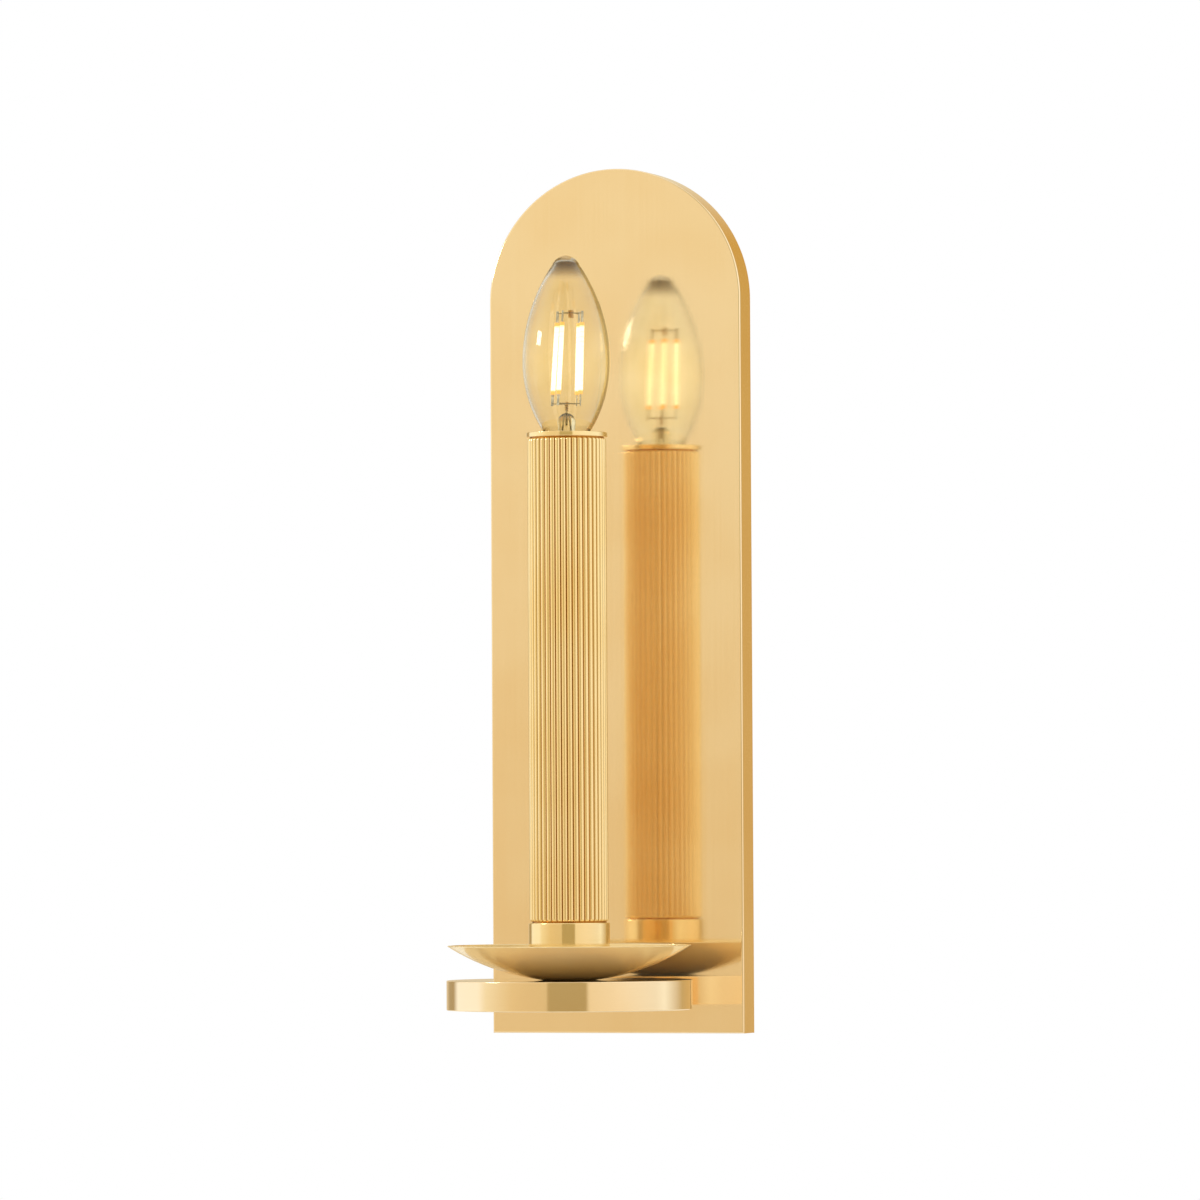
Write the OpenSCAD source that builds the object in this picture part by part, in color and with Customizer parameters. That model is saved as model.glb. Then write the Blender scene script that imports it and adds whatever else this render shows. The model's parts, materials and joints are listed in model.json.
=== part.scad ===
// Electric wall sconce: an arched brass pan on the wall, a turned disc arm, a shallow dish,
// and a reeded candle tube that hides the lamp socket under a torpedo lamp.
// Y = 0 is the wall, the room is towards -Y, and the origin is the centre of the wall box.

/* [Back plate] */
// Width of the arched pan
plate_w = 108.5; // [90:0.5:150]
// Height of the pan, foot to crown
plate_h = 355.6; // [290:0.1:440]
// Depth of the pan from the wall to its face
plate_depth = 14; // [12:0.5:22]
// Sheet thickness of the pan
plate_wall = 1.5; // [1:0.1:2.5]
// Bevel round the pan's front edge
plate_edge = 0.7; // [0.3:0.1:1.2]
// Height of the wall box centre above the pan's foot
box_rise = 178; // [150:1:200]

/* [Mounting plate] */
// Width of the steel mounting plate
mount_w = 62; // [50:1:80]
// Sheet thickness of the mounting plate
mount_t = 1.6; // [1.2:0.1:2.5]
// Centre distance of the wall box screw slots
box_pitch = 79.4; // [76:0.1:84]
// Width of a wall box screw slot
slot_w = 4.6; // [4.2:0.1:5.5]
// Full length of a wall box screw slot
slot_len = 14.1; // [12:0.1:18]
// Diameter of the supply wire hole
wire_hole_d = 24; // [18:1:30]
// Height of the hanging ledge above the wall box centre
hook_rise = 108; // [90:1:115]
// Width of the tongue that the pan hangs on
tongue_w = 24; // [16:1:30]
// Distance of the tongue's front face from the wall
tongue_out = 6; // [5:0.5:7]

/* [Locking screws] */
// Shank diameter of the locking screws under the foot
lock_d = 3; // [2.5:0.5:4]
// Length of a locking screw, head to tip
lock_len = 7.5; // [7:0.5:10]
// Distance between the two locking screws
lock_pitch = 44; // [30:1:48]

/* [Disc arm] */
// Distance of the candle axis from the pan's face
axis_out = 62; // [56:0.5:90]
// Diameter of the disc arm
disc_d = 99.2; // [70:0.1:105]
// Thickness of the disc arm
disc_h = 12; // [11:0.5:20]
// Height of the disc's underside above the pan's foot
disc_rise = 11; // [8:0.5:30]
// Small chamfer on the disc's rims
disc_edge = 0.4; // [0.2:0.1:0.8]
// Width of the block between the pan and the disc
block_w = 24; // [18:1:34]
// Diameter of the wiring pocket under the disc
pocket_d = 26; // [24:1:30]
// Thickness of the disc above the wiring pocket
pocket_roof = 2.5; // [2:0.5:4]
// Diameter of the cover under the pocket
cover_d = 40; // [38:1:50]
// Thickness of that cover
cover_t = 1.2; // [0.8:0.1:2]

/* [Pipes and nuts] */
// Outer diameter of the arm nipple
nipple_d = 8; // [7:0.5:9]
// Bore of the arm nipple
nipple_bore = 5.4; // [5:0.1:6]
// Outer diameter of the upright stem pipe
stem_d = 10; // [9.5:0.5:11]
// Bore of the stem pipe
stem_bore = 7; // [6:0.5:7.5]
// Thickness of every hexagon nut
nut_t = 3; // [2.5:0.5:4]
// Thickness of every washer
washer_t = 1; // [0.8:0.1:1.5]

/* [Dish and cup] */
// Diameter of the dish rim
dish_d = 99.2; // [80:0.1:110]
// Depth of the dish, rim to base
dish_depth = 14; // [10:0.5:18]
// Sheet thickness of the dish
dish_t = 0.8; // [0.6:0.1:1.2]
// Diameter of the flat spot under the dish
dish_flat_d = 21; // [18:1:26]
// Diameter of the cup
cup_d = 32.9; // [32:0.1:36]
// Height of the cup's top above the dish's floor
cup_h = 22.3; // [18:0.1:30]
// Thickness of the cup's floor
cup_floor = 3; // [2:0.5:4]
// Diameter of the foot that the cup stands on
cup_foot_d = 19; // [16:1:20]
// Height of that foot
cup_foot_h = 3; // [2.5:0.1:4]

/* [Candle tube] */
// Diameter over the reeds
reed_d = 31.9; // [31:0.1:34]
// Number of reeds round the tube
reed_count = 42; // [30:1:60]
// Depth of the grooves between the reeds
reed_depth = 0.85; // [0.4:0.05:1.2]
// Length of the tube between the cup and the cap
tube_len = 196; // [150:1:240]
// Bore of the tube
tube_bore = 26.4; // [26:0.1:27]
// Diameter of the plain spigot in the cup
spigot_d = 28.6; // [28:0.1:29]
// Length of that spigot
spigot_len = 9; // [6:0.5:12]
// Plain margin above and below the reeds
reed_margin = 0.6; // [0.3:0.1:2]
// Diameter of the cap on the tube
cap_d = 32.9; // [32:0.1:36]
// Thickness of the cap's rim
cap_h = 1.9; // [1.5:0.1:4]
// Wall of the cap's neck, round the hole for the lamp
cap_neck_t = 1.15; // [0.8:0.05:2]
// Length of the cap's spigot in the tube
cap_spigot_len = 4; // [3:0.5:6]

/* [Socket] */
// Outer diameter of the moulded socket body
socket_d = 17.6; // [16:0.1:19]
// Length of the socket body
socket_len = 34; // [30:1:40]
// Length of the screw shell in the socket
socket_shell_len = 13; // [11:0.5:15]
// Sheet thickness of the socket's screw shell
socket_shell_t = 0.4; // [0.3:0.1:0.6]
// Length of the bracket under the socket
bracket_len = 18; // [16:1:24]
// Outer diameter of the insulating sleeve
sleeve_d = 21.2; // [20.6:0.1:21.4]
// Wall of the insulating sleeve
sleeve_t = 0.7; // [0.5:0.1:1]
// Length of the insulating sleeve
sleeve_len = 52; // [40:1:58]

/* [Lamp] */
// Largest diameter of the lamp glass
lamp_d = 35.5; // [32:0.1:36]
// Height of the lamp's tip above the cap
lamp_rise = 71.7; // [60:0.1:80]
// Height of the widest part above the cap
lamp_belly = 28.5; // [24:0.5:32]
// Radius of the upper glass curve, measured from beyond the axis
lamp_upper_r = 69.5; // [65:0.5:75]
// Radius of the lower glass curve
lamp_lower_r = 52.2; // [50:0.1:54]
// Wall of the glass
glass_t = 0.8; // [0.6:0.1:1]
// Diameter of the blunt end of the glass tip
lamp_nose_d = 5.6; // [4:0.2:7]
// Diameter of the lamp's screw shell
base_d = 11.9; // [11.7:0.1:12]
// Length of the lamp's screw shell
base_len = 13.5; // [12:0.5:14]
// Depth of the top of the lamp's screw shell below the cap's top
base_drop = 4.6; // [4:0.1:5]
// Length of each glowing filament stick
filament_len = 29; // [20:1:32]
// Diameter of a filament stick
filament_d = 1.5; // [1.2:0.1:2]
// Distance of the sticks from the lamp's axis
filament_r = 6; // [4:0.5:7]
// Half the angle between the two sticks of a pair
filament_spread = 35; // [20:1:45]
// Turn of the two pairs about the lamp's axis
filament_turn = 28; // [0:1:90]
// Height of the sticks' lower ends above the cap
filament_rise = 15.5; // [13:0.5:20]

/* [Wires] */
// Diameter of an insulated lead
lead_d = 2; // [1.6:0.1:2.2]
// Diameter of a wire connector
connector_d = 8; // [7:0.5:8.5]
// Length of a wire connector
connector_len = 18; // [14:1:22]

/* [Clearances] */
// Radial gap of fixed parts that pass through each other
seat_gap = 0.05; // [0.02:0.01:0.1]
// Radial gap of parts that turn or slide in each other
run_gap = 0.06; // [0.02:0.01:0.1]
// Gap between pieces that must not touch
free_gap = 0.3; // [0.2:0.05:0.6]

/* [Hidden] */

$fn = 96;
eps = 0.01;

// Heights, measured from the wall box centre.
foot_z = -box_rise;
crown_z = foot_z + plate_h;
arm_z = foot_z + disc_rise + disc_h / 2;
disc_top_z = foot_z + disc_rise + disc_h;
disc_base_z = foot_z + disc_rise;
dish_floor_z = disc_top_z + dish_t;
rim_z = disc_top_z + dish_depth;
cup_base_z = dish_floor_z + cup_foot_h;
cup_top_z = dish_floor_z + cup_h;
cap_z = cup_top_z + tube_len;
cap_top_z = cap_z + cap_h;

// Depths, measured from the wall into the room.
face_y = -plate_depth;
axis_y = face_y - axis_out;
disc_back_y = axis_y + disc_d / 2;
pan_inner_y = face_y + plate_wall;

// Wiring pocket and stem.
pocket_roof_z = disc_top_z - pocket_roof;
cover_top_z = disc_base_z + cover_t;
stem_nut_z = pocket_roof_z - nut_t;
stem_base_z = stem_nut_z - 0.8;
cup_floor_top_z = cup_base_z + cup_floor;
cup_nut_z = cup_floor_top_z + washer_t;

// Lamp details.
glass_neck_inset = 0.6;
glass_nose_h = 1.2;
glass_tip_t = 4;
glass_hollow_drop = 6;
lamp_stem_r = 3.2;
lamp_stem_h = 8;
support_wire_r = 0.3;
spider_gap = 1.2;
base_sheet_t = 0.35;
base_floor_t = 0.6;
base_floor_hole_r = 3.6;
insulator_foot_r = 3;
insulator_inset = 0.9;

// Socket heights, from the lamp's screw shell down.
base_top_z = cap_top_z - base_drop;
base_bottom_z = base_top_z - base_len;
insulator_h = 2.4;
contact_h = 1.4;
contact_r = 2.4;
lamp_bottom_z = base_bottom_z - insulator_h - contact_h;
socket_top_z = base_top_z - 2;
socket_bottom_z = socket_top_z - socket_len;
socket_bore_r = base_d / 2 + run_gap;
shell_outer_r = socket_bore_r + socket_shell_t;
socket_well_z = lamp_bottom_z - 2.4;
bracket_ring_t = 5;
bracket_ring_z = socket_bottom_z - bracket_len;
bracket_strap_t = 1.2;
bracket_strap_w = 8;
stem_top_z = bracket_ring_z + bracket_ring_t;
sleeve_top_z = cap_z - cap_spigot_len - free_gap;
terminal_z = socket_bottom_z + 8;
terminal_r = 1.5;
terminal_head_r = 2.2;
terminal_head_h = 1.1;
terminal_len = 3;
wire_port_x = 5.4;
rivet_r = 1.6;
rivet_head_r = 2.6;
rivet_head_h = 0.8;
rivet_len = 5;

reed_steps = 6;
reed_core_step = 0.1;

// Fasteners.
nut_flats_wide = 14;
nut_flats_slim = 12;
lock_head_r = 2.8;
lock_head_h = 1.5;
lock_flange_gap = 1.4;
lock_flange_z = foot_z + plate_wall + lock_flange_gap;
cover_screw_r = 1.25;
cover_screw_head_r = 2.2;
cover_screw_len = 5.5;
cover_screw_ring_r = (pocket_d + cover_d) / 4;
cover_screw_count = 3;
ground_screw_x = 20;
ground_screw_z = -20;
ground_screw_r = 2.4;
ground_head_r = 4.56;
ground_head_h = 2;
ground_wire_d = 1.6;
screw_slot_w = 0.7;
screw_slot_depth = 0.6;
small_slot_w = 0.5;

// Hanging hook.
ledge_room = 2.2;
hanger_rise = 30;
hanger_w = tongue_w + 12;
ledge_slot_gap = 0.4;
tongue_step = 8;
tongue_rise = 12;
hook_foot_z = hook_rise - tongue_step;
hook_shoulder_w = mount_w - 12;

// Wire routes: corner points through the pan, the arm, the pocket and the stem.
lead_side = 1.3;
connector_x = 9;
connector_y = -7;
connector_z = -76;
connector_tip_share = 0.62;
connector_bore_share = 0.6;
run_y = -4.6;
pocket_dip_z = cover_top_z + lead_d / 2 + 0.9;
lead_bend = 2.6;
bend_steps = 5;
lead_sides = 8;

function unit(v) = v / norm(v);

// One corner of a route, rounded by a quadratic curve that starts and ends "reach" from the corner.
function corner(before, at, after, reach) =
    let (start = at + reach * unit(before - at), stop = at + reach * unit(after - at))
    [for (i = [0:bend_steps]) let (t = i / bend_steps)
        (1 - t) * (1 - t) * start + 2 * t * (1 - t) * at + t * t * stop];

function rounded_route(points, reach) =
    let (last = len(points) - 1)
    concat([points[0]],
           [for (i = [1:last - 1]) each corner(points[i - 1], points[i], points[i + 1], reach)],
           [points[last]]);

// A round wire along a route. side_axis is a direction that the route never runs along.
module wire(points, diameter, side_axis) {
    last = len(points) - 1;
    function heading(i) = unit(points[min(i + 1, last)] - points[max(i - 1, 0)]);
    function ring(i) =
        let (u = unit(cross(heading(i), side_axis)), v = cross(heading(i), u))
        [for (k = [0:lead_sides - 1]) let (a = 360 * k / lead_sides)
            points[i] + diameter / 2 * (cos(a) * u + sin(a) * v)];
    corners = [for (i = [0:last]) each ring(i)];
    walls = [for (i = [0:last - 1]) for (k = [0:lead_sides - 1])
        let (a = i * lead_sides + k, b = i * lead_sides + (k + 1) % lead_sides)
        [a, b, b + lead_sides, a + lead_sides]];
    start_cap = [for (k = [lead_sides - 1:-1:0]) k];
    end_cap = [for (k = [0:lead_sides - 1]) last * lead_sides + k];
    polyhedron(points = corners, faces = concat([start_cap], walls, [end_cap]), convexity = 6);
}

// Moves children onto the candle's upright axis at a height.
module on_axis(z) {
    translate([0, axis_y, z]) children();
}

module ring(outer_r, inner_r, h) {
    difference() {
        cylinder(r = outer_r, h = h);
        translate([0, 0, -eps]) cylinder(r = inner_r, h = h + 2 * eps);
    }
}

module hex_nut(flats, bore_r, h) {
    difference() {
        cylinder(d = flats / cos(30), h = h, $fn = 6);
        translate([0, 0, -eps]) cylinder(r = bore_r, h = h + 2 * eps);
    }
}

// A cylinder that lies along Y, from y_from towards the room.
module along_y(r, y_from, length) {
    translate([0, y_from, 0]) rotate([90, 0, 0]) cylinder(r = r, h = length);
}

// A solid with a round top and a square foot, with its front edge bevelled all round.
module arched_solid(width, foot, crown, back_y, front_y, bevel) {
    half = width / 2;
    spring = crown - half;
    depth = back_y - front_y;
    translate([0, back_y, 0]) {
        intersection() {
            translate([0, 0, foot]) linear_extrude(spring - foot)
                polygon([[-half, 0], [-half, bevel - depth], [bevel - half, -depth],
                         [half - bevel, -depth], [half, bevel - depth], [half, 0]]);
            translate([-half - 1, 0, 0]) rotate([90, 0, 90]) linear_extrude(width + 2)
                polygon([[0, foot], [bevel - depth, foot], [-depth, foot + bevel],
                         [-depth, spring + 1], [0, spring + 1]]);
        }
        intersection() {
            translate([0, 0, spring]) rotate([90, 0, 0]) rotate_extrude()
                polygon([[0, 0], [half, 0], [half, depth - bevel], [half - bevel, depth], [0, depth]]);
            translate([-half - 1, -depth - 1, spring]) cube([width + 2, depth + 2, half + 2]);
        }
    }
}

module slot(x, z) {
    reach = (slot_len - slot_w) / 2;
    for (side = [-1, 1]) translate([x, 0, z + side * reach])
        translate([0, 1, 0]) rotate([90, 0, 0]) cylinder(d = slot_w, h = mount_t + 2);
    translate([x - slot_w / 2, -mount_t - 1, z - reach]) cube([slot_w, mount_t + 2, 2 * reach]);
}

// Steel plate on the wall box, with a flange at its foot and a hooked tongue at its top.
module mounting_plate() {
    color("gainsboro") difference() {
        union() {
            translate([-mount_w / 2, -mount_t, lock_flange_z])
                cube([mount_w, mount_t, hook_foot_z - lock_flange_z]);
            translate([-mount_w / 2, pan_inner_y + 1, lock_flange_z])
                cube([mount_w, -pan_inner_y - 1, mount_t]);
            translate([-hook_shoulder_w / 2, -tongue_out, hook_foot_z - mount_t])
                cube([hook_shoulder_w, tongue_out, mount_t]);
            translate([-hook_shoulder_w / 2, -tongue_out, hook_foot_z - mount_t])
                cube([hook_shoulder_w, mount_t, tongue_step + mount_t]);
            translate([-tongue_w / 2, -tongue_out, hook_rise - 1])
                cube([tongue_w, mount_t, tongue_rise + 1]);
        }
        translate([0, 1, 0]) rotate([90, 0, 0]) cylinder(d = wire_hole_d, h = mount_t + 2);
        for (side = [-1, 1]) {
            slot(0, side * box_pitch / 2);
            translate([side * lock_pitch / 2, (pan_inner_y + 1) / 2, lock_flange_z - 1])
                cylinder(r = lock_d / 2 + run_gap, h = mount_t + 2);
        }
        translate([ground_screw_x, 1, ground_screw_z]) rotate([90, 0, 0])
            cylinder(r = ground_screw_r + seat_gap, h = mount_t + 2);
    }
}

module ground_screw() {
    color("seagreen") translate([ground_screw_x, 0, ground_screw_z]) difference() {
        union() {
            along_y(ground_screw_r, 0, mount_t + eps);
            along_y(ground_head_r, -mount_t, ground_head_h);
        }
        translate([-ground_head_r - 1, -mount_t - ground_head_h - 1, -0.5])
            cube([2 * ground_head_r + 2, 1.8, 1]);
    }
}

// Hollow caps that join the lamp's leads to the supply.
module wire_connectors() {
    color("darkorange") for (side = [-1, 1]) translate([side * connector_x, connector_y, connector_z])
        difference() {
            cylinder(d1 = connector_d, d2 = connector_d * connector_tip_share, h = connector_len);
            translate([0, 0, -eps])
                cylinder(r = lead_d / 2 + free_gap, h = connector_len * connector_bore_share);
        }
}

// The pan, pressed from sheet: an arched front with a rim that meets the wall.
module back_plate() {
    color("goldenrod") difference() {
        arched_solid(plate_w, foot_z, crown_z, 0, face_y, plate_edge);
        arched_solid(plate_w - 2 * plate_wall, foot_z + plate_wall, crown_z - plate_wall, 1,
                     pan_inner_y, plate_edge / 2);
        translate([0, 0, arm_z]) along_y(nipple_d / 2 + seat_gap, pan_inner_y + 1, plate_wall + 2);
        for (side = [-1, 1]) translate([side * lock_pitch / 2, (pan_inner_y + 1) / 2, foot_z]) {
            translate([0, 0, -1]) cylinder(r = lock_d / 2 + free_gap, h = plate_wall + 2);
            translate([0, 0, -eps]) cylinder(r1 = lock_head_r + free_gap, r2 = lock_d / 2 + free_gap,
                                             h = lock_head_h - 0.2);
        }
    }
}

// Bracket inside the pan whose slotted ledge hangs on the mounting plate's tongue.
module hanger() {
    ledge_back = -tongue_out + mount_t + ledge_room;
    color("silver") difference() {
        union() {
            translate([-hanger_w / 2, pan_inner_y, hook_rise])
                cube([hanger_w, mount_t, hanger_rise]);
            translate([-hanger_w / 2, pan_inner_y, hook_rise])
                cube([hanger_w, ledge_back - pan_inner_y, mount_t]);
        }
        translate([-tongue_w / 2 - ledge_slot_gap, -tongue_out - ledge_slot_gap, hook_rise - 1])
            cube([tongue_w + 2 * ledge_slot_gap, mount_t + 2 * ledge_slot_gap, mount_t + 2]);
    }
}

// Block that carries the disc off the pan, hollowed to fit the disc's rim.
module arm_block() {
    color("goldenrod") difference() {
        translate([-block_w / 2, disc_back_y - 4, disc_base_z + disc_edge])
            cube([block_w, face_y - disc_back_y + 4, disc_h - 2 * disc_edge]);
        on_axis(disc_base_z - 1) cylinder(r = disc_d / 2 + seat_gap, h = disc_h + 2);
        translate([0, 0, arm_z]) along_y(nipple_d / 2 + seat_gap, face_y + 1, axis_out);
    }
}

// Pipe that clamps pan, block and disc together and carries the leads.
module arm_nipple() {
    start_y = pan_inner_y + washer_t + nut_t + 1.5;
    length = start_y - (axis_y + pocket_d / 2 - 1);
    color("darkkhaki") translate([0, start_y, arm_z]) rotate([90, 0, 0])
        ring(nipple_d / 2, nipple_bore / 2, length);
}

module arm_washer() {
    color("silver") translate([0, pan_inner_y + washer_t, arm_z]) rotate([90, 0, 0])
        ring(nut_flats_slim / 2 + 1, nipple_d / 2 + seat_gap, washer_t);
}

module arm_nut() {
    color("darkkhaki") translate([0, pan_inner_y + washer_t + nut_t, arm_z]) rotate([90, 0, 0])
        hex_nut(nut_flats_slim, nipple_d / 2 + seat_gap, nut_t);
}

// Turned disc with a wiring pocket underneath, a hole for the stem and one for the nipple.
module arm_disc() {
    half = disc_d / 2;
    color("goldenrod") difference() {
        on_axis(disc_base_z) rotate_extrude()
            polygon([[0, 0], [half - disc_edge, 0], [half, disc_edge], [half, disc_h - disc_edge],
                     [half - disc_edge, disc_h], [0, disc_h]]);
        on_axis(disc_base_z - 1) cylinder(d = pocket_d, h = pocket_roof_z - disc_base_z + 1);
        on_axis(disc_base_z - 1) cylinder(r = cover_d / 2 + seat_gap, h = cover_t + 1);
        on_axis(pocket_roof_z - 1) cylinder(r = stem_d / 2 + seat_gap, h = pocket_roof + 2);
        translate([0, 0, arm_z])
            along_y(nipple_d / 2 + seat_gap, disc_back_y + 1, disc_back_y - axis_y - pocket_d / 2 + 3);
        at_cover_screws() cylinder(r = cover_screw_r + seat_gap, h = cover_screw_len + 0.5);
    }
}

module at_cover_screws() {
    on_axis(disc_base_z) for (i = [0:cover_screw_count - 1]) rotate([0, 0, 360 * i / cover_screw_count])
        translate([0, -cover_screw_ring_r, 0]) children();
}

module disc_cover() {
    color("goldenrod") difference() {
        on_axis(disc_base_z) cylinder(d = cover_d, h = cover_t);
        at_cover_screws() {
            translate([0, 0, -1]) cylinder(r = cover_screw_r + seat_gap, h = cover_t + 2);
            translate([0, 0, -eps]) cylinder(r1 = cover_screw_head_r + seat_gap,
                                             r2 = cover_screw_r + seat_gap, h = cover_t - 0.2);
        }
    }
}

module cover_screws() {
    color("darkkhaki") at_cover_screws() difference() {
        union() {
            cylinder(r1 = cover_screw_head_r, r2 = cover_screw_r, h = cover_t - 0.2);
            cylinder(r = cover_screw_r, h = cover_screw_len);
        }
        translate([-cover_screw_head_r, -small_slot_w / 2, -eps])
            cube([2 * cover_screw_head_r, small_slot_w, 0.5]);
    }
}

module stem_pipe() {
    color("darkkhaki") on_axis(stem_base_z)
        ring(stem_d / 2, stem_bore / 2, stem_top_z - stem_base_z);
}

module stem_nut() {
    color("darkkhaki") on_axis(stem_nut_z) hex_nut(nut_flats_wide, stem_d / 2 + seat_gap, nut_t);
}

// Shallow spun dish: two spheres bound the sheet, and a flat spot rests on the disc.
module dish() {
    flat_r = dish_flat_d / 2;
    rim_r = dish_d / 2;
    centre_z = (rim_r * rim_r + dish_depth * dish_depth - flat_r * flat_r) / (2 * dish_depth);
    outer_r = sqrt(flat_r * flat_r + centre_z * centre_z);
    color("goldenrod") on_axis(disc_top_z) difference() {
        intersection() {
            translate([0, 0, centre_z]) sphere(r = outer_r, $fn = 180);
            cylinder(r = rim_r + 1, h = dish_depth);
        }
        intersection() {
            translate([0, 0, centre_z]) sphere(r = outer_r - dish_t, $fn = 180);
            translate([0, 0, dish_t]) cylinder(r = rim_r + 2, h = dish_depth + 1);
        }
        translate([0, 0, -1]) cylinder(r = stem_d / 2 + seat_gap, h = dish_t + 2);
    }
}

// Plain turned cup on a narrow foot. The candle tube's spigot turns in its mouth.
module cup() {
    edge = 0.5;
    wall_r = cup_d / 2;
    height = cup_top_z - cup_base_z;
    color("goldenrod") on_axis(cup_base_z) difference() {
        union() {
            translate([0, 0, -cup_foot_h]) cylinder(d = cup_foot_d, h = cup_foot_h + eps);
            rotate_extrude() polygon([[0, 0], [wall_r, 0], [wall_r, height - edge],
                                      [wall_r - edge, height], [0, height]]);
        }
        translate([0, 0, cup_floor]) cylinder(r = spigot_d / 2 + run_gap, h = height);
        translate([0, 0, -cup_foot_h - 1])
            cylinder(r = stem_d / 2 + seat_gap, h = cup_floor + cup_foot_h + 2);
    }
}

module cup_washer() {
    color("silver") on_axis(cup_floor_top_z)
        ring(nut_flats_wide / 2 + 2, stem_d / 2 + seat_gap, washer_t);
}

module cup_nut() {
    color("darkkhaki") on_axis(cup_nut_z) hex_nut(nut_flats_wide, stem_d / 2 + seat_gap, nut_t);
}

// Strap bracket that screws on the stem and holds the socket body clear of it.
module socket_bracket() {
    reach = socket_d / 2 - 1;
    color("silver") on_axis(bracket_ring_z) difference() {
        union() {
            cylinder(r = reach, h = bracket_ring_t);
            for (y = [-reach, reach - bracket_strap_t]) translate([-bracket_strap_w / 2, y, 0])
                cube([bracket_strap_w, bracket_strap_t, bracket_len]);
            translate([-bracket_strap_w / 2, -reach, bracket_len - bracket_strap_t])
                cube([bracket_strap_w, 2 * reach, bracket_strap_t]);
        }
        translate([0, 0, -1]) cylinder(r = stem_d / 2 + seat_gap, h = bracket_ring_t + 2);
        translate([0, 0, bracket_len - bracket_strap_t - 1])
            cylinder(r = rivet_r + seat_gap, h = bracket_strap_t + 2);
    }
}

module bracket_rivet() {
    color("silver") on_axis(socket_bottom_z - bracket_strap_t - rivet_head_h) {
        cylinder(r = rivet_head_r, h = rivet_head_h);
        cylinder(r = rivet_r, h = rivet_len);
    }
}

// Moulded body: a well for the screw shell, flats for the terminals and two wire holes.
module socket_body() {
    color("dimgray") on_axis(socket_bottom_z) difference() {
        cylinder(d = socket_d, h = socket_len);
        translate([0, 0, socket_well_z - socket_bottom_z])
            cylinder(r = shell_outer_r + seat_gap, h = socket_len);
        for (side = [-1, 1]) {
            translate([side * wire_port_x, 0, -1]) cylinder(r = lead_d / 2 + 0.2, h = 8);
            translate([side > 0 ? socket_d / 2 - 1.2 : -socket_d / 2 - 1, -4, 3])
                cube([2.2, 8, 10]);
            translate([0, 0, 8]) rotate([0, side * 90, 0])
                translate([0, 0, socket_d / 2 - 5]) cylinder(r = terminal_r + seat_gap, h = 6);
        }
        translate([0, 0, -1]) cylinder(r = rivet_r + seat_gap, h = rivet_len);
    }
}

module terminal_screws() {
    color("darkkhaki") on_axis(terminal_z) for (side = [-1, 1]) rotate([0, side * 90, 0])
        translate([0, 0, socket_d / 2 - 1.2]) difference() {
            union() {
                cylinder(r = terminal_head_r, h = terminal_head_h);
                translate([0, 0, -terminal_len]) cylinder(r = terminal_r, h = terminal_len + eps);
            }
            translate([-terminal_head_r, -0.3, terminal_head_h - 0.5]) cube([2 * terminal_head_r, 0.6, 1]);
        }
}

// Screw shell that takes the lamp; its floor is open round the centre contact.
module socket_shell() {
    length = socket_shell_len + 2;
    color("darkkhaki") on_axis(socket_top_z - length) difference() {
        cylinder(r = shell_outer_r, h = length);
        translate([0, 0, -1]) cylinder(r = socket_bore_r, h = length + 2);
    }
}

module socket_contact() {
    width = 4;
    color("darkkhaki") on_axis(socket_well_z) {
        translate([-width / 2, -5, 0]) cube([width, 10, 0.5]);
        translate([-width / 2, -1.5, 0.5]) cube([width, 3, 1.4]);
    }
}

module insulating_sleeve() {
    color("darkslategray") on_axis(sleeve_top_z - sleeve_len)
        ring(sleeve_d / 2, sleeve_d / 2 - sleeve_t, sleeve_len);
}

// A lamp lead: from its connector down the pan, through the arm, and up the stem to a terminal.
module lead(side) {
    x = side * lead_side;
    terminal_x = side * wire_port_x;
    wire(rounded_route([
        [side * connector_x, connector_y, connector_z + 6],
        [side * connector_x, connector_y, connector_z - 14],
        [x, run_y, connector_z - 40],
        [x, run_y, arm_z],
        [x, axis_y + pocket_d / 2 - 3, arm_z],
        [x, axis_y + 5.5, pocket_dip_z],
        [x, axis_y, pocket_dip_z],
        [x, axis_y, stem_top_z + 1],
        [terminal_x, axis_y, socket_bottom_z - 3.2],
        [terminal_x, axis_y, socket_bottom_z + 5]], lead_bend), lead_d, [1, 0, 0]);
}

module line_lead() {
    color("black") lead(1);
}

module neutral_lead() {
    color("whitesmoke") lead(-1);
}

// Bare earth wire between the arm's washer and the screw on the mounting plate.
module ground_lead() {
    start_x = nut_flats_slim / 2 + 2;
    wire_y = pan_inner_y + washer_t / 2 + 1.2;
    color("peru") {
        wire(rounded_route([
            [start_x + 1.2, wire_y, arm_z + 1],
            [start_x + 1.2, wire_y, arm_z + 22],
            [ground_screw_x, -mount_t - 1.4, ground_screw_z - 34],
            [ground_screw_x, -mount_t - 1.4, ground_screw_z - ground_head_r - 0.2]], lead_bend),
            ground_wire_d, [0, 1, 0]);
    }
}

// Outline of the reeds: each is an arc through its crest and the two grooves beside it.
function reed_outline(outer_r) =
    let (half_pitch = 180 / reed_count, groove_r = outer_r - reed_depth,
         rise = outer_r - groove_r * cos(half_pitch), reach = groove_r * sin(half_pitch),
         bead_r = (rise * rise + reach * reach) / (2 * rise),
         sweep = rise > bead_r ? 180 - asin(reach / bead_r) : asin(reach / bead_r))
    [for (i = [0:reed_count - 1]) for (j = [0:reed_steps - 1])
        let (around = 360 * i / reed_count, a = sweep * (2 * j / reed_steps - 1),
             out = outer_r - bead_r + bead_r * cos(a), side = bead_r * sin(a))
        [out * cos(around) - side * sin(around), out * sin(around) + side * cos(around)]];

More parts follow.
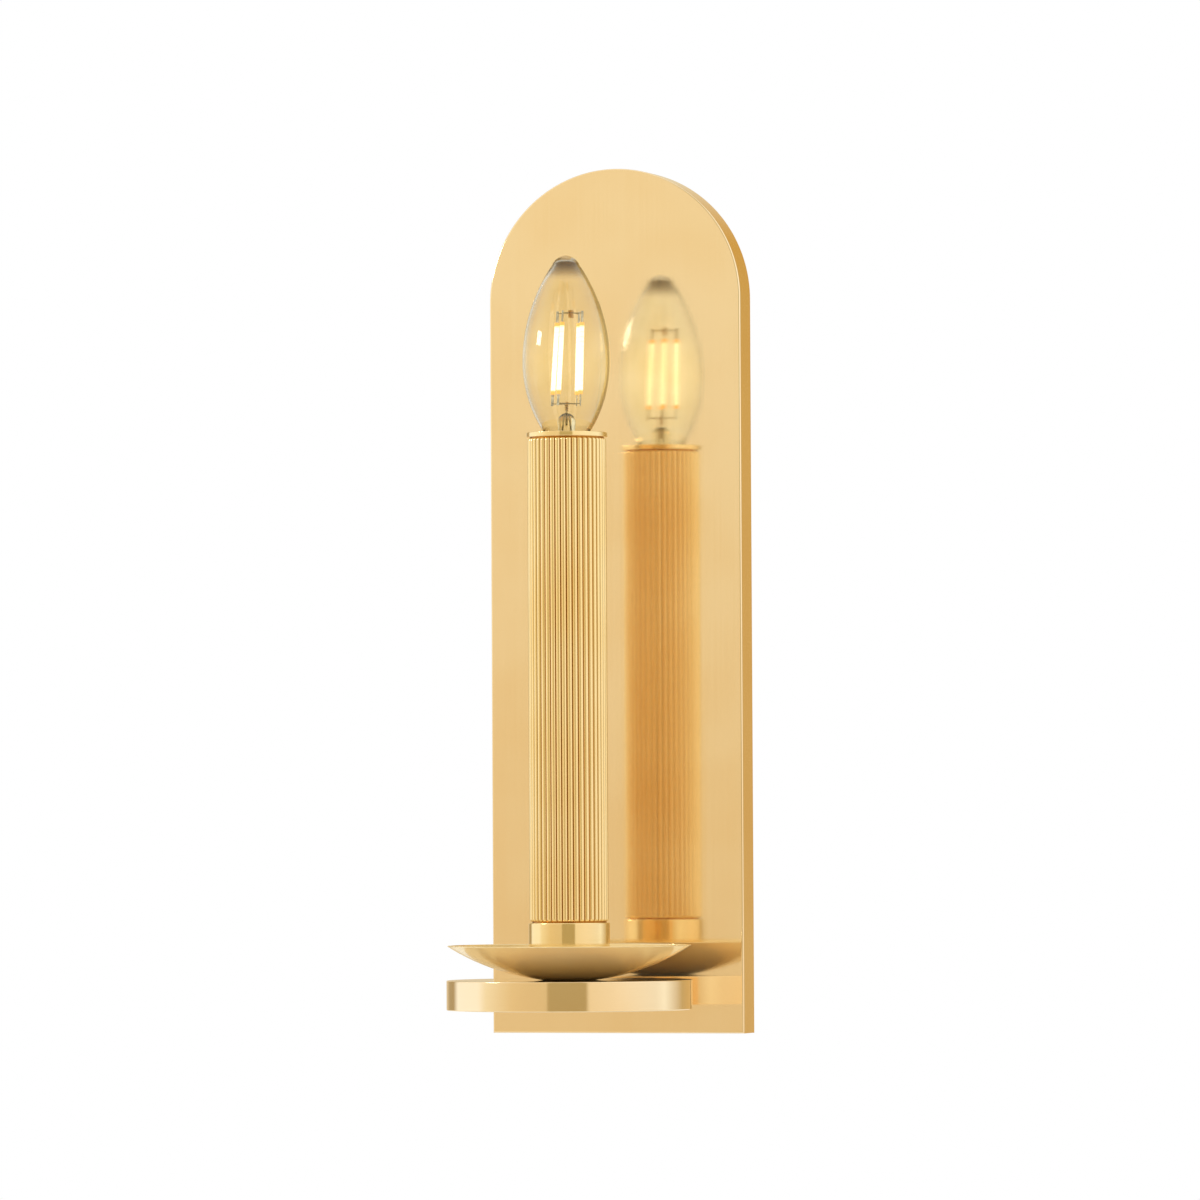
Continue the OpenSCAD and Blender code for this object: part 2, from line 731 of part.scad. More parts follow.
// Reeded tube over the socket, with a plain spigot at its foot.
module candle_tube() {
    outer_r = reed_d / 2;
    color("goldenrod") on_axis(cup_top_z) difference() {
        union() {
            cylinder(r = outer_r - reed_depth - reed_core_step, h = tube_len);
            translate([0, 0, reed_margin]) linear_extrude(tube_len - 2 * reed_margin)
                polygon(reed_outline(outer_r));
            translate([0, 0, -spigot_len]) cylinder(d = spigot_d, h = spigot_len + eps);
        }
        translate([0, 0, -spigot_len - 1]) cylinder(d = tube_bore, h = tube_len + spigot_len + 2);
    }
}

module tube_cap() {
    edge = 0.25;
    rim_r = cap_d / 2;
    neck_r = tube_bore / 2 - seat_gap;
    hole_r = neck_r - cap_neck_t;
    color("goldenrod") on_axis(cap_z) rotate_extrude()
        polygon([[hole_r, -cap_spigot_len], [neck_r, -cap_spigot_len], [neck_r, 0], [rim_r - edge, 0],
                 [rim_r, edge], [rim_r, cap_h - edge], [rim_r - edge, cap_h], [hole_r, cap_h]]);
}

// Radius of the glass at a height above the cap; inset shrinks it to the inner wall.
function glass_r(h, inset) =
    let (arc = (h > lamp_belly ? lamp_upper_r : lamp_lower_r), beyond = arc - lamp_d / 2)
    sqrt((arc - inset) * (arc - inset) - (h - lamp_belly) * (h - lamp_belly)) - beyond;

function glass_profile(from_h, to_h, inset) =
    let (steps = 36) [for (i = [0:steps]) let (h = from_h + (to_h - from_h) * i / steps)
        [glass_r(h, inset), h]];

// Hollow glass envelope with a blunt tip and a neck inside the screw shell.
module lamp_glass() {
    neck_r = base_d / 2 - glass_neck_inset;
    seat_h = -base_drop + seat_gap;
    nose_r = lamp_nose_d / 2;
    outer = concat([[0, seat_h - 4], [neck_r, seat_h - 4], [neck_r, seat_h]],
                   glass_profile(seat_h, lamp_rise - glass_nose_h, 0),
                   [[nose_r * 0.7, lamp_rise - 0.3], [0, lamp_rise]]);
    inner = concat([[0, seat_h - 5], [neck_r - glass_t, seat_h - 5], [neck_r - glass_t, seat_h + 2]],
                   glass_profile(seat_h + 3, lamp_rise - glass_hollow_drop, glass_t),
                   [[0, lamp_rise - glass_tip_t]]);
    color("ivory", 0.4) on_axis(cap_top_z) difference() {
        rotate_extrude() polygon(outer);
        rotate_extrude() polygon(inner);
    }
}

module lamp_base() {
    color("silver") on_axis(base_bottom_z) difference() {
        cylinder(d = base_d, h = base_len);
        translate([0, 0, base_floor_t]) cylinder(r = base_d / 2 - base_sheet_t, h = base_len);
        translate([0, 0, -1]) cylinder(r = base_floor_hole_r, h = base_floor_t + 2);
    }
}

module lamp_insulator() {
    color("black") on_axis(base_bottom_z - insulator_h)
        cylinder(r1 = insulator_foot_r, r2 = base_d / 2 - insulator_inset, h = insulator_h);
}

module lamp_contact() {
    color("silver") on_axis(lamp_bottom_z) cylinder(r = contact_r, h = contact_h);
}

// Glass stem that closes the neck and holds the wires.
module lamp_stem() {
    straight_h = lamp_stem_h - lamp_stem_r;
    color("ivory", 0.6) on_axis(cap_top_z) {
        translate([0, 0, -base_drop - 3]) cylinder(r = lamp_stem_r, h = straight_h + base_drop + 3);
        translate([0, 0, straight_h]) sphere(r = lamp_stem_r);
    }
}

module lamp_filaments() {
    color("gold") on_axis(cap_top_z + filament_rise) at_filaments()
        translate([filament_r, 0, 0]) cylinder(d = filament_d, h = filament_len, $fn = 24);
}

// The sticks stand in two pairs on opposite sides of the lamp's axis.
module at_filaments() {
    for (side = [0, 180]) for (half = [-1, 1])
        rotate([0, 0, filament_turn + side + half * filament_spread]) children();
}

// Wires that carry the sticks: a centre post and a spider at each end.
module lamp_supports() {
    wire_r = support_wire_r;
    top_h = filament_rise + filament_len + spider_gap;
    color("silver") on_axis(cap_top_z) {
        translate([0, 0, lamp_stem_h + seat_gap])
            cylinder(r = wire_r, h = top_h - lamp_stem_h + wire_r, $fn = 24);
        for (h = [filament_rise - spider_gap, top_h]) at_filaments() {
            translate([0, 0, h]) rotate([0, 90, 0]) cylinder(r = wire_r, h = filament_r, $fn = 24);
            foot = h < filament_rise ? h : h - spider_gap;
            translate([filament_r, 0, foot]) cylinder(r = wire_r, h = spider_gap, $fn = 24);
        }
    }
}

// Countersunk screw that comes up through the pan's foot into the flange.
module lock_screw(side) {
    color("goldenrod") translate([side * lock_pitch / 2, (pan_inner_y + 1) / 2, foot_z]) difference() {
        union() {
            cylinder(r1 = lock_head_r, r2 = lock_d / 2, h = lock_head_h);
            cylinder(d = lock_d, h = lock_len);
        }
        translate([-lock_head_r, -screw_slot_w / 2, -eps])
            cube([2 * lock_head_r, screw_slot_w, screw_slot_depth]);
    }
}

module lock_screw_left() {
    lock_screw(-1);
}

module lock_screw_right() {
    lock_screw(1);
}

mounting_plate();
ground_screw();
wire_connectors();
back_plate();
hanger();
arm_block();
arm_nipple();
arm_washer();
arm_nut();
arm_disc();
disc_cover();
cover_screws();
stem_pipe();
stem_nut();
dish();
cup();
cup_washer();
cup_nut();
socket_bracket();
bracket_rivet();
socket_body();
socket_shell();
socket_contact();
terminal_screws();
insulating_sleeve();
line_lead();
neutral_lead();
ground_lead();
candle_tube();
tube_cap();
lamp_glass();
lamp_base();
lamp_insulator();
lamp_contact();
lamp_stem();
lamp_filaments();
lamp_supports();
lock_screw_left();
lock_screw_right();
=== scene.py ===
"""Looks of an electric wall sconce: an arched lacquered brass pan, a turned disc arm, a spun dish,
a reeded candle tube and a lit torpedo lamp with four glowing filament sticks.

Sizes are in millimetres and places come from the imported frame. Pieces are turned, pressed or drawn
with bmesh operators and then brought to metres.
"""

from __future__ import annotations

import json
import logging
import math
from collections.abc import Sequence
from dataclasses import dataclass
from enum import Enum

import bmesh
import bpy
from mathutils import Matrix, Vector


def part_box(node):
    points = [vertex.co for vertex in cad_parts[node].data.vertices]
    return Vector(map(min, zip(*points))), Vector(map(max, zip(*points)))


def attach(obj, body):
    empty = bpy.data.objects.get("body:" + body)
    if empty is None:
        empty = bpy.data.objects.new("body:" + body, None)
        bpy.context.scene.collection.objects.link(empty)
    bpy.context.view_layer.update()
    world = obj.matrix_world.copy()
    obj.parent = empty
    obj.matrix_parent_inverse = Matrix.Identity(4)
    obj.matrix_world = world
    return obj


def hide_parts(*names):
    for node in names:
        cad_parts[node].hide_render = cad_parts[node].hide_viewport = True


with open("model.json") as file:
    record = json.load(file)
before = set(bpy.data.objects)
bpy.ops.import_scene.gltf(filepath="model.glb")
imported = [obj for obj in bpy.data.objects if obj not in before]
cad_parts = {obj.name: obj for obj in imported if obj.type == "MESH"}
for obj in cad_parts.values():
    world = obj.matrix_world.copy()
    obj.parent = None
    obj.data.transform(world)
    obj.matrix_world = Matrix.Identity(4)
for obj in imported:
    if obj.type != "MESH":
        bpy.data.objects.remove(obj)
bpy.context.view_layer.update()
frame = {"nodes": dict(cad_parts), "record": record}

MM = 0.001
TURN_STEPS = 192
MERGE_GAP = 1e-4
UP = Vector((0.0, 0.0, 1.0))
Point = tuple[float, float]
log = logging.getLogger("sconce")


class Slot(Enum):
    """Material slots of the record, one for each way of making a surface."""

    PLATE_BRASS = "plate_brass"
    TURNED_BRASS = "turned_brass"
    REEDED_BRASS = "reeded_brass"
    FITTING_BRASS = "fitting_brass"
    ZINC_STEEL = "zinc_steel"
    GROUND_GREEN = "ground_green"
    CONNECTOR_PLASTIC = "connector_plastic"
    MOULDED_BLACK = "moulded_black"
    FIBRE_SLEEVE = "fibre_sleeve"
    LEAD_BLACK = "lead_black"
    LEAD_WHITE = "lead_white"
    BARE_COPPER = "bare_copper"
    CLEAR_GLASS = "clear_glass"
    NICKEL_PLATE = "nickel_plate"
    FILAMENT_PHOSPHOR = "filament_phosphor"
    NICKEL_WIRE = "nickel_wire"


class Grain(Enum):
    """Direction of the brushing lines on a brass piece."""

    UPRIGHT = "upright"
    RINGS = "rings"


def to_linear(code: str) -> tuple[float, float, float, float]:
    """Turns an sRGB hex colour into a linear one.

    Args:
        code: colour such as "#EFCA88".

    Returns:
        Linear red, green, blue and an alpha of 1.
    """
    channels = [int(code[i:i + 2], 16) / 255 for i in (1, 3, 5)]
    red, green, blue = (c / 12.92 if c <= 0.04045 else ((c + 0.055) / 1.055) ** 2.4 for c in channels)
    return red, green, blue, 1.0


def feed(tree: bpy.types.NodeTree, node: bpy.types.Node, feeds: dict[str | int, object]) -> None:
    """Gives a node's inputs their values and links.

    Args:
        tree: tree of the node.
        node: node to feed.
        feeds: for each input, a value, an output socket, or a node whose first output is taken.
    """
    for name, value in feeds.items():
        if isinstance(value, bpy.types.Node):
            value = value.outputs[0]
        if isinstance(value, bpy.types.NodeSocket):
            tree.links.new(value, node.inputs[name])
        else:
            node.inputs[name].default_value = value


def add_node(
    tree: bpy.types.NodeTree,
    kind: str,
    feeds: dict[str | int, object] | None = None,
    stops: Sequence[tuple[float, object]] = (),
    **settings: object,
) -> bpy.types.Node:
    """Adds a shader node with its settings and its incoming links.

    Args:
        tree: tree that gets the node.
        kind: type name of the node, without the ShaderNode in front.
        feeds: what goes into each input, as feed() takes it.
        stops: positions and colours, for a node that has a colour ramp.
        settings: attributes of the node.

    Returns:
        The new node.
    """
    node = tree.nodes.new(f"ShaderNode{kind}")
    for name, value in settings.items():
        setattr(node, name, value)
    feed(tree, node, feeds or {})
    if stops:
        elements = node.color_ramp.elements
        while len(elements) < len(stops):
            elements.new(1.0)
        for element, (place, colour) in zip(elements, stops):
            element.position = place
            element.color = colour
    return node


def start_material(name: str) -> tuple[bpy.types.Material, bpy.types.NodeTree, bpy.types.NodeSocket]:
    """Starts a material made of nodes.

    Args:
        name: name of the material.

    Returns:
        The material, its tree and its object coordinates, in metres.
    """
    material = bpy.data.materials.new(name)
    material.use_nodes = True
    tree = material.node_tree
    return material, tree, add_node(tree, "TexCoord").outputs["Object"]


@dataclass(frozen=True)
class Datums:
    """Heights and distances of the frame, in millimetres, read from the CAD nodes' boxes."""

    half_w: float
    foot_z: float
    crown_z: float
    face_y: float
    axis_y: float
    disc_base_z: float
    disc_top_z: float
    disc_r: float
    rim_z: float
    cup_top_z: float
    cup_r: float
    spigot_z: float
    cap_top_z: float
    cap_r: float
    lamp_tip_z: float
    lamp_r: float

    @classmethod
    def from_frame(cls) -> Datums:
        """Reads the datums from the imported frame.

        Returns:
            The datums of this build.
        """
        low, high = {}, {}
        for node in frame["nodes"]:
            low[node], high[node] = (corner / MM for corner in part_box(node))
        return cls(
            half_w=high["back_plate"].x,
            foot_z=low["back_plate"].z,
            crown_z=high["back_plate"].z,
            face_y=low["back_plate"].y,
            axis_y=(low["cup"].y + high["cup"].y) / 2,
            disc_base_z=low["arm_disc"].z,
            disc_top_z=high["arm_disc"].z,
            disc_r=high["arm_disc"].x,
            rim_z=high["dish"].z,
            cup_top_z=high["cup"].z,
            cup_r=high["cup"].x,
            spigot_z=low["candle_tube"].z,
            cap_top_z=high["tube_cap"].z,
            cap_r=high["tube_cap"].x,
            lamp_tip_z=high["lamp_glass"].z,
            lamp_r=high["lamp_glass"].x,
        )


AT = Datums.from_frame()
AXIS = Vector((0.0, AT.axis_y, 0.0))
CAP_TOP = AXIS + UP * AT.cap_top_z
ARM_Z = (AT.disc_base_z + AT.disc_top_z) / 2
NIPPLE_HOLE_R = 4.05
STEM_HOLE_R = 5.05


# Finishes


class Finish:
    """A named surface finish. Each kind of finish dresses the shader in its own way."""

    name: str
    _made: dict[str, bpy.types.Material] = {}

    def material(self) -> bpy.types.Material:
        """Returns the finish's material, made on its first use.

        Returns:
            The material, shared by every piece with this finish.
        """
        if self.name not in Finish._made:
            material, tree, place = start_material(self.name)
            self.dress(tree, tree.nodes["Principled BSDF"], place)
            Finish._made[self.name] = material
        return Finish._made[self.name]

    def dress(self, tree: bpy.types.NodeTree, shader: bpy.types.Node, place: bpy.types.NodeSocket) -> None:
        """Adds the finish's nodes. Each kind of finish has its own.

        Args:
            tree: tree of the material.
            shader: its surface shader.
            place: object coordinates, in metres.
        """
        raise NotImplementedError


@dataclass(frozen=True)
class LacqueredBrass(Finish):
    """Brushed brass under clear lacquer: a warm mirror that smears reflections across its grain."""

    name: str
    grain: Grain
    bright: str = "#FCE7C0"
    warm: str = "#F9E0B4"
    metallic: float = 0.95
    roughness: float = 0.07
    smear: float = 0.7
    streak: float = 0.016
    lacquer: float = 0.2
    lacquer_roughness: float = 0.06
    line_share: float = 0.2
    grain_mm: float = 0.8
    grain_stretch: float = 120.0
    patch_mm: float = 38.0
    relief_mm: float = 0.0008
    # Painted shade: reeds darken towards the foot of their grooves, between these two radii.
    painted_groove_shade_mm: tuple[float, float] | None = None
    painted_groove_shade: str = "#A9701F"

    def dress(self, tree: bpy.types.NodeTree, shader: bpy.types.Node, place: bpy.types.NodeSocket) -> None:
        """Draws brushing lines, warm patches and, on reeds, painted shade darkening the foot of each groove.

        Args:
            tree: tree of the material.
            shader: its surface shader.
            place: object coordinates, in metres.
        """
        centred = add_node(tree, "Mapping", {"Vector": place, "Location": -AXIS * MM})
        parts = add_node(tree, "SeparateXYZ", {0: centred})
        level = add_node(tree, "VectorMath", {0: centred, 1: (1.0, 1.0, 0.0)}, operation="MULTIPLY")
        radius = add_node(tree, "VectorMath", {0: level}, operation="LENGTH").outputs["Value"]
        # Real brushing lines are about 0.05 mm apart; they are drawn wide enough to be seen.
        per_line = 1 / (self.grain_mm * MM)
        if self.grain is Grain.UPRIGHT:
            across = (per_line, per_line, per_line / self.grain_stretch)
            lines = add_node(tree, "Mapping", {"Vector": centred, "Scale": across})
            hoop = add_node(tree, "CombineXYZ", {0: 0.0, 1: 0.0, 2: 1.0})
        else:
            turned = add_node(tree, "CombineXYZ", {0: radius, 1: parts.outputs["Z"]})
            lines = add_node(tree, "Mapping", {"Vector": turned, "Scale": (per_line, per_line, 1.0)})
            hoop = add_node(
                tree, "VectorMath", {0: (0.0, 0.0, 1.0), 1: centred}, operation="CROSS_PRODUCT"
            )
        brushed = add_node(tree, "TexNoise", {"Vector": lines, "Scale": 1.0, "Detail": 3.0})
        patches = add_node(
            tree, "TexNoise",
            {"Vector": centred, "Scale": 1 / (self.patch_mm * MM), "Detail": 2.0, "Roughness": 0.4},
        )
        warmth = add_node(tree, "Math", {0: patches, 1: 1 - self.line_share}, operation="MULTIPLY")
        warmth = add_node(
            tree, "Math", {0: brushed, 1: self.line_share, 2: warmth}, operation="MULTIPLY_ADD"
        )
        tone = add_node(
            tree, "ValToRGB", {0: warmth},
            stops=[(0.38, to_linear(self.bright)), (0.68, to_linear(self.warm))],
        )
        # Painted shade: the groove colour is mixed in near the foot of each groove.
        if self.painted_groove_shade_mm:
            low, high = (value * MM for value in self.painted_groove_shade_mm)
            painted_groove_shade_fade = add_node(tree, "MapRange", {"Value": radius, "From Min": low, "From Max": high})
            tone = add_node(
                tree, "Mix", {0: painted_groove_shade_fade, 6: to_linear(self.painted_groove_shade), 7: tone}, data_type="RGBA"
            ).outputs[2]
        rough = add_node(
            tree, "MapRange",
            {"Value": brushed, "From Min": 0.3, "From Max": 0.7,
             "To Min": self.roughness - self.streak, "To Max": self.roughness + self.streak},
        )
        bump = add_node(
            tree, "Bump", {"Height": brushed, "Distance": self.relief_mm * MM, "Strength": 1.0}
        )
        normal = add_node(tree, "NewGeometry").outputs["Normal"]
        across_grain = add_node(tree, "VectorMath", {0: normal, 1: hoop}, operation="CROSS_PRODUCT")
        feed(tree, shader, {
            "Base Color": tone, "Roughness": rough, "Normal": bump, "Tangent": across_grain,
            "Metallic": self.metallic, "Anisotropic": self.smear, "Coat Weight": self.lacquer,
            "Coat Roughness": self.lacquer_roughness,
        })


@dataclass(frozen=True)
class PlatedMetal(Finish):
    """Plated or drawn metal: a cool or warm shine, mottled where the plating has crystallised."""

    name: str
    bright: str
    dull: str
    roughness: float
    mottle_mm: float

    def dress(self, tree: bpy.types.NodeTree, shader: bpy.types.Node, place: bpy.types.NodeSocket) -> None:
        """Mottles colour and gloss by the plating's crystals.

        Args:
            tree: tree of the material.
            shader: its surface shader.
            place: object coordinates, in metres.
        """
        crystals = add_node(
            tree, "TexVoronoi", {"Vector": place, "Scale": 1 / (self.mottle_mm * MM)}
        ).outputs["Color"]
        grey = add_node(tree, "RGBToBW", {0: crystals})
        clouds = add_node(
            tree, "TexNoise", {"Vector": place, "Scale": 0.4 / (self.mottle_mm * MM), "Detail": 4.0}
        )
        mixed = add_node(tree, "Math", {0: grey, 1: clouds}, operation="ADD")
        tone = add_node(
            tree, "ValToRGB", {0: mixed},
            stops=[(0.5, to_linear(self.bright)), (1.0, to_linear(self.dull))],
        )
        rough = add_node(
            tree, "MapRange",
            {"Value": mixed, "From Min": 0.5, "From Max": 1.2,
             "To Min": self.roughness * 0.8, "To Max": self.roughness * 1.25},
        )
        feed(tree, shader, {"Base Color": tone, "Roughness": rough, "Metallic": 1.0})


@dataclass(frozen=True)
class MouldedPolymer(Finish):
    """Moulded plastic or resin: an even colour with a faint orange-peel skin."""

    name: str
    colour: str
    scuffed: str
    roughness: float = 0.42
    peel_mm: float = 1.1

    def dress(self, tree: bpy.types.NodeTree, shader: bpy.types.Node, place: bpy.types.NodeSocket) -> None:
        """Adds the orange-peel relief and slightly lighter scuffs.

        Args:
            tree: tree of the material.
            shader: its surface shader.
            place: object coordinates, in metres.
        """
        peel = add_node(
            tree, "TexNoise", {"Vector": place, "Scale": 1 / (self.peel_mm * MM), "Detail": 2.0}
        )
        scuffs = add_node(
            tree, "TexNoise", {"Vector": place, "Scale": 0.12 / (self.peel_mm * MM), "Detail": 6.0}
        )
        tone = add_node(
            tree, "ValToRGB", {0: scuffs},
            stops=[(0.5, to_linear(self.colour)), (0.8, to_linear(self.scuffed))],
        )
        rough = add_node(
            tree, "MapRange",
            {"Value": scuffs, "To Min": self.roughness - 0.08, "To Max": self.roughness + 0.12},
        )
        bump = add_node(tree, "Bump", {"Height": peel, "Distance": 0.02 * MM, "Strength": 0.6})
        feed(tree, shader, {"Base Color": tone, "Roughness": rough, "Normal": bump, "IOR": 1.5})


@dataclass(frozen=True)
class VulcanisedFibre(Finish):
    """Wound paper tube, varnished: soft grey-black with the slanted edges of its winding."""

    name: str
    colour: str = "#23262A"
    edge: str = "#3A3E42"
    turn_mm: float = 6.0

    def dress(self, tree: bpy.types.NodeTree, shader: bpy.types.Node, place: bpy.types.NodeSocket) -> None:
        """Draws the slanted winding and its fibres.

        Args:
            tree: tree of the material.
            shader: its surface shader.
            place: object coordinates, in metres.
        """
        tilted = add_node(tree, "Mapping", {"Vector": place, "Rotation": (math.radians(25), 0.0, 0.0)})
        winding = add_node(
            tree, "TexWave",
            {"Vector": tilted, "Scale": 1 / (self.turn_mm * MM) / 3, "Distortion": 0.4}, bands_direction="Z",
        ).outputs["Fac"]
        fibres = add_node(tree, "TexNoise", {"Vector": place, "Scale": 1 / (0.6 * MM), "Detail": 4.0})
        tone = add_node(
            tree, "ValToRGB", {0: winding},
            stops=[(0.86, to_linear(self.colour)), (0.98, to_linear(self.edge))],
        )
        bump = add_node(tree, "Bump", {"Height": fibres, "Distance": 0.03 * MM, "Strength": 0.7})
        feed(tree, shader, {"Base Color": tone, "Normal": bump, "Roughness": 0.62, "IOR": 1.5})


@dataclass(frozen=True)
class BlownGlass(Finish):
    """Clear blown soda-lime glass with small window glints and a faint warm cast; its dark gold rims are
    painted reflection, the dark band under its tip is painted shade and its glow about the sticks is painted
    light.
    """

    name: str
    clear: str = "#FAF6E6"
    cast: str = "#F6F0DA"
    # Painted reflection: the glass turns dark gold where it is seen edge-on, in place of the brass seen
    # through its rims.
    rim: str = "#96702E"
    painted_rim_blend: float = 0.35
    painted_rim_power: float = 2.2
    # Painted shade: a grey-brown band just under the tip, in place of the dark refraction of the thick lens.
    painted_tip_shade: str = "#97886A"
    tip_mm: float = AT.cap_top_z + 71.7
    painted_tip_shade_mm: tuple[float, float] = (9.0, 1.0)
    # Painted light: the glass itself glows faintly, most at the sticks' middle height, as a halo round the
    # lit sticks.
    painted_halo_mm: tuple[float, float] = (AT.cap_top_z + 30, 24.0)
    painted_halo: str = "#FFF0A0"
    glow: float = 0.03
    wave_mm: float = 9.0
    relief_mm: float = 0.02

    def dress(self, tree: bpy.types.NodeTree, shader: bpy.types.Node, place: bpy.types.NodeSocket) -> None:
        """Adds the slow waves of blown glass, its faint cast, a painted reflection on its rims, a painted
        shade band under its tip and a painted glow about the sticks.

        Args:
            tree: tree of the material.
            shader: its surface shader.
            place: object coordinates, in metres.
        """
        waves = add_node(
            tree, "TexNoise", {"Vector": place, "Scale": 1 / (self.wave_mm * MM), "Detail": 0.0}
        )
        tone = add_node(
            tree, "ValToRGB", {0: waves},
            stops=[(0.3, to_linear(self.clear)), (0.8, to_linear(self.cast))],
        )
        # Painted reflection: dark gold mixed in by how edge-on the glass is seen.
        edge = add_node(tree, "LayerWeight", {"Blend": self.painted_rim_blend}).outputs["Facing"]
        painted_rim_mask = add_node(tree, "Math", {0: edge, 1: self.painted_rim_power}, operation="POWER")
        tone = add_node(tree, "Mix", {0: painted_rim_mask, 6: tone, 7: to_linear(self.rim)}, data_type="RGBA")
        # Painted shade: grey-brown mixed into the glass in a band below the tip.
        start, stop = ((self.tip_mm - drop) * MM for drop in self.painted_tip_shade_mm)
        height = add_node(tree, "SeparateXYZ", {0: place}).outputs["Z"]
        painted_tip_shade_mask = add_node(tree, "MapRange", {"Value": height, "From Min": start, "From Max": stop})
        painted_tip_shade_mask = add_node(
            tree, "ValToRGB", {0: painted_tip_shade_mask},
            stops=[(0.0, (0.0, 0.0, 0.0, 1.0)), (0.75, (1.0, 1.0, 1.0, 1.0)), (1.0, (0.3, 0.3, 0.3, 1.0))],
        )
        tone = add_node(
            tree, "Mix", {0: painted_tip_shade_mask, 6: tone.outputs[2], 7: to_linear(self.painted_tip_shade)}, data_type="RGBA"
        )
        bump = add_node(tree, "Bump", {"Height": waves, "Distance": self.relief_mm * MM, "Strength": 1.0})
        # Painted light: the glass's glow fades out with distance from the sticks' middle height.
        middle, reach = (value * MM for value in self.painted_halo_mm)
        off = add_node(tree, "Math", {0: height, 1: middle}, operation="SUBTRACT")
        off = add_node(tree, "Math", {0: off}, operation="ABSOLUTE")
        painted_halo = add_node(
            tree, "MapRange",
            {"Value": off, "From Min": 0.0, "From Max": reach, "To Min": self.glow, "To Max": 0.0},
            interpolation_type="SMOOTHSTEP",
        )
        feed(tree, shader, {
            "Base Color": tone.outputs[2], "Normal": bump, "Emission Strength": painted_halo,
            "Emission Color": to_linear(self.painted_halo), "Roughness": 0.0, "IOR": 1.5, "Transmission Weight": 1.0,
        })


@dataclass(frozen=True)
class GlowingPhosphor(Finish):
    """Yellow phosphor over a row of light chips: almost white where a chip sits, amber between."""

    name: str
    hot: str = "#FFFCF2"
    amber: str = "#FFF4DA"
    bare: str = "#E0A850"
    chip_mm: float = 1.0
    end_mm: float = 1.2
    low_mm: float = AT.cap_top_z + 15.5
    high_mm: float = AT.cap_top_z + 44.5
    strength: float = 1.12

    def dress(self, tree: bpy.types.NodeTree, shader: bpy.types.Node, place: bpy.types.NodeSocket) -> None:
        """Lights the row of chips.

        Args:
            tree: tree of the material.
            shader: its surface shader.
            place: object coordinates, in metres.
        """
        chips = add_node(
            tree, "TexWave", {"Vector": place, "Scale": 1 / (self.chip_mm * MM) / (2 * math.pi)},
            bands_direction="Z",
        ).outputs["Fac"]
        glow = add_node(
            tree, "ValToRGB", {0: chips},
            stops=[(0.0, to_linear(self.amber)), (0.6, to_linear(self.hot))],
        )
        height = add_node(tree, "SeparateXYZ", {0: place}).outputs["Z"]
        middle = (self.low_mm + self.high_mm) / 2 * MM
        half = (self.high_mm - self.low_mm) / 2 * MM
        fade = 0.6 * self.end_mm * MM
        off_middle = add_node(tree, "Math", {0: height, 1: middle}, operation="SUBTRACT")
        distance = add_node(tree, "Math", {0: off_middle}, operation="ABSOLUTE")
        at_end = add_node(
            tree, "MapRange",
            {"Value": distance, "From Min": half - self.end_mm * MM - fade,
             "From Max": half - self.end_mm * MM},
        )
        glow = add_node(
            tree, "Mix", {0: at_end, 6: glow, 7: to_linear(self.bare)}, data_type="RGBA"
        ).outputs[2]
        feed(tree, shader, {
            "Base Color": glow, "Emission Color": glow, "Roughness": 0.5, "Emission Strength": self.strength,
        })


PLATE_BRASS = LacqueredBrass("brushed_brass_plate", Grain.UPRIGHT)
TURNED_BRASS = LacqueredBrass(
    "turned_brass", Grain.RINGS, bright="#FCE8C2", warm="#F8E0B4", roughness=0.08, smear=0.6
)
CUP_BRASS = LacqueredBrass(
    "turned_cup_brass", Grain.RINGS, bright="#FCE4AE", warm="#F8DA98", roughness=0.08, smear=0.6
)
SPUN_BRASS = LacqueredBrass(
    "spun_brass", Grain.RINGS, bright="#FBE9BA", warm="#F7E0AC", metallic=0.44, roughness=0.17, smear=0.5,
    relief_mm=0.0,
)
# The reeded tube carries painted shade in its grooves.
REEDED_BRASS = LacqueredBrass(
    "reeded_brass_tube", Grain.UPRIGHT, bright="#FEE5AC", warm="#FADB98", roughness=0.12,
    smear=0.0, relief_mm=0.0, painted_groove_shade_mm=(15.15, 15.6), painted_groove_shade="#B67B2C",
)
FITTING_BRASS = PlatedMetal("raw_brass_fittings", "#E2BE74", "#C79A4C", 0.3, 2.5)
ZINC_STEEL = PlatedMetal("zinc_plated_steel", "#D4D8DC", "#AEB4BA", 0.34, 4.0)
GROUND_GREEN = PlatedMetal("green_dyed_zinc", "#3E9B5C", "#2B7343", 0.4, 2.0)
NICKEL_PLATE = PlatedMetal("nickel_plated_brass", "#DAD6CC", "#B9B3A6", 0.22, 3.0)
NICKEL_WIRE = PlatedMetal("nickel_wire", "#D8C79A", "#A8915C", 0.4, 1.0)
TAB_STEEL = PlatedMetal("bright_tab_steel", "#F6F2E8", "#DAD4C6", 0.55, 1.0)
COIL_BRASS = PlatedMetal("gilt_coil_wire", "#F0C24E", "#C8912E", 0.3, 1.0)
BARE_COPPER = PlatedMetal("bare_copper_wire", "#D98F66", "#A86240", 0.35, 3.0)
SOLDER = PlatedMetal("tin_solder", "#CFCFCC", "#9D9E9C", 0.35, 1.5)
CONNECTOR_PLASTIC = MouldedPolymer("orange_polypropylene", "#E5702A", "#EC8444")
MOULDED_BLACK = MouldedPolymer("black_phenolic", "#17171A", "#242428", 0.35)
LEAD_BLACK = MouldedPolymer("black_pvc_lead", "#1A1A1C", "#29292B", 0.45, 0.8)
LEAD_WHITE = MouldedPolymer("white_pvc_lead", "#EEEDE8", "#DAD8D0", 0.45, 0.8)
FIBRE_SLEEVE = VulcanisedFibre("vulcanised_fibre")
CLEAR_GLASS = BlownGlass("blown_lamp_glass")
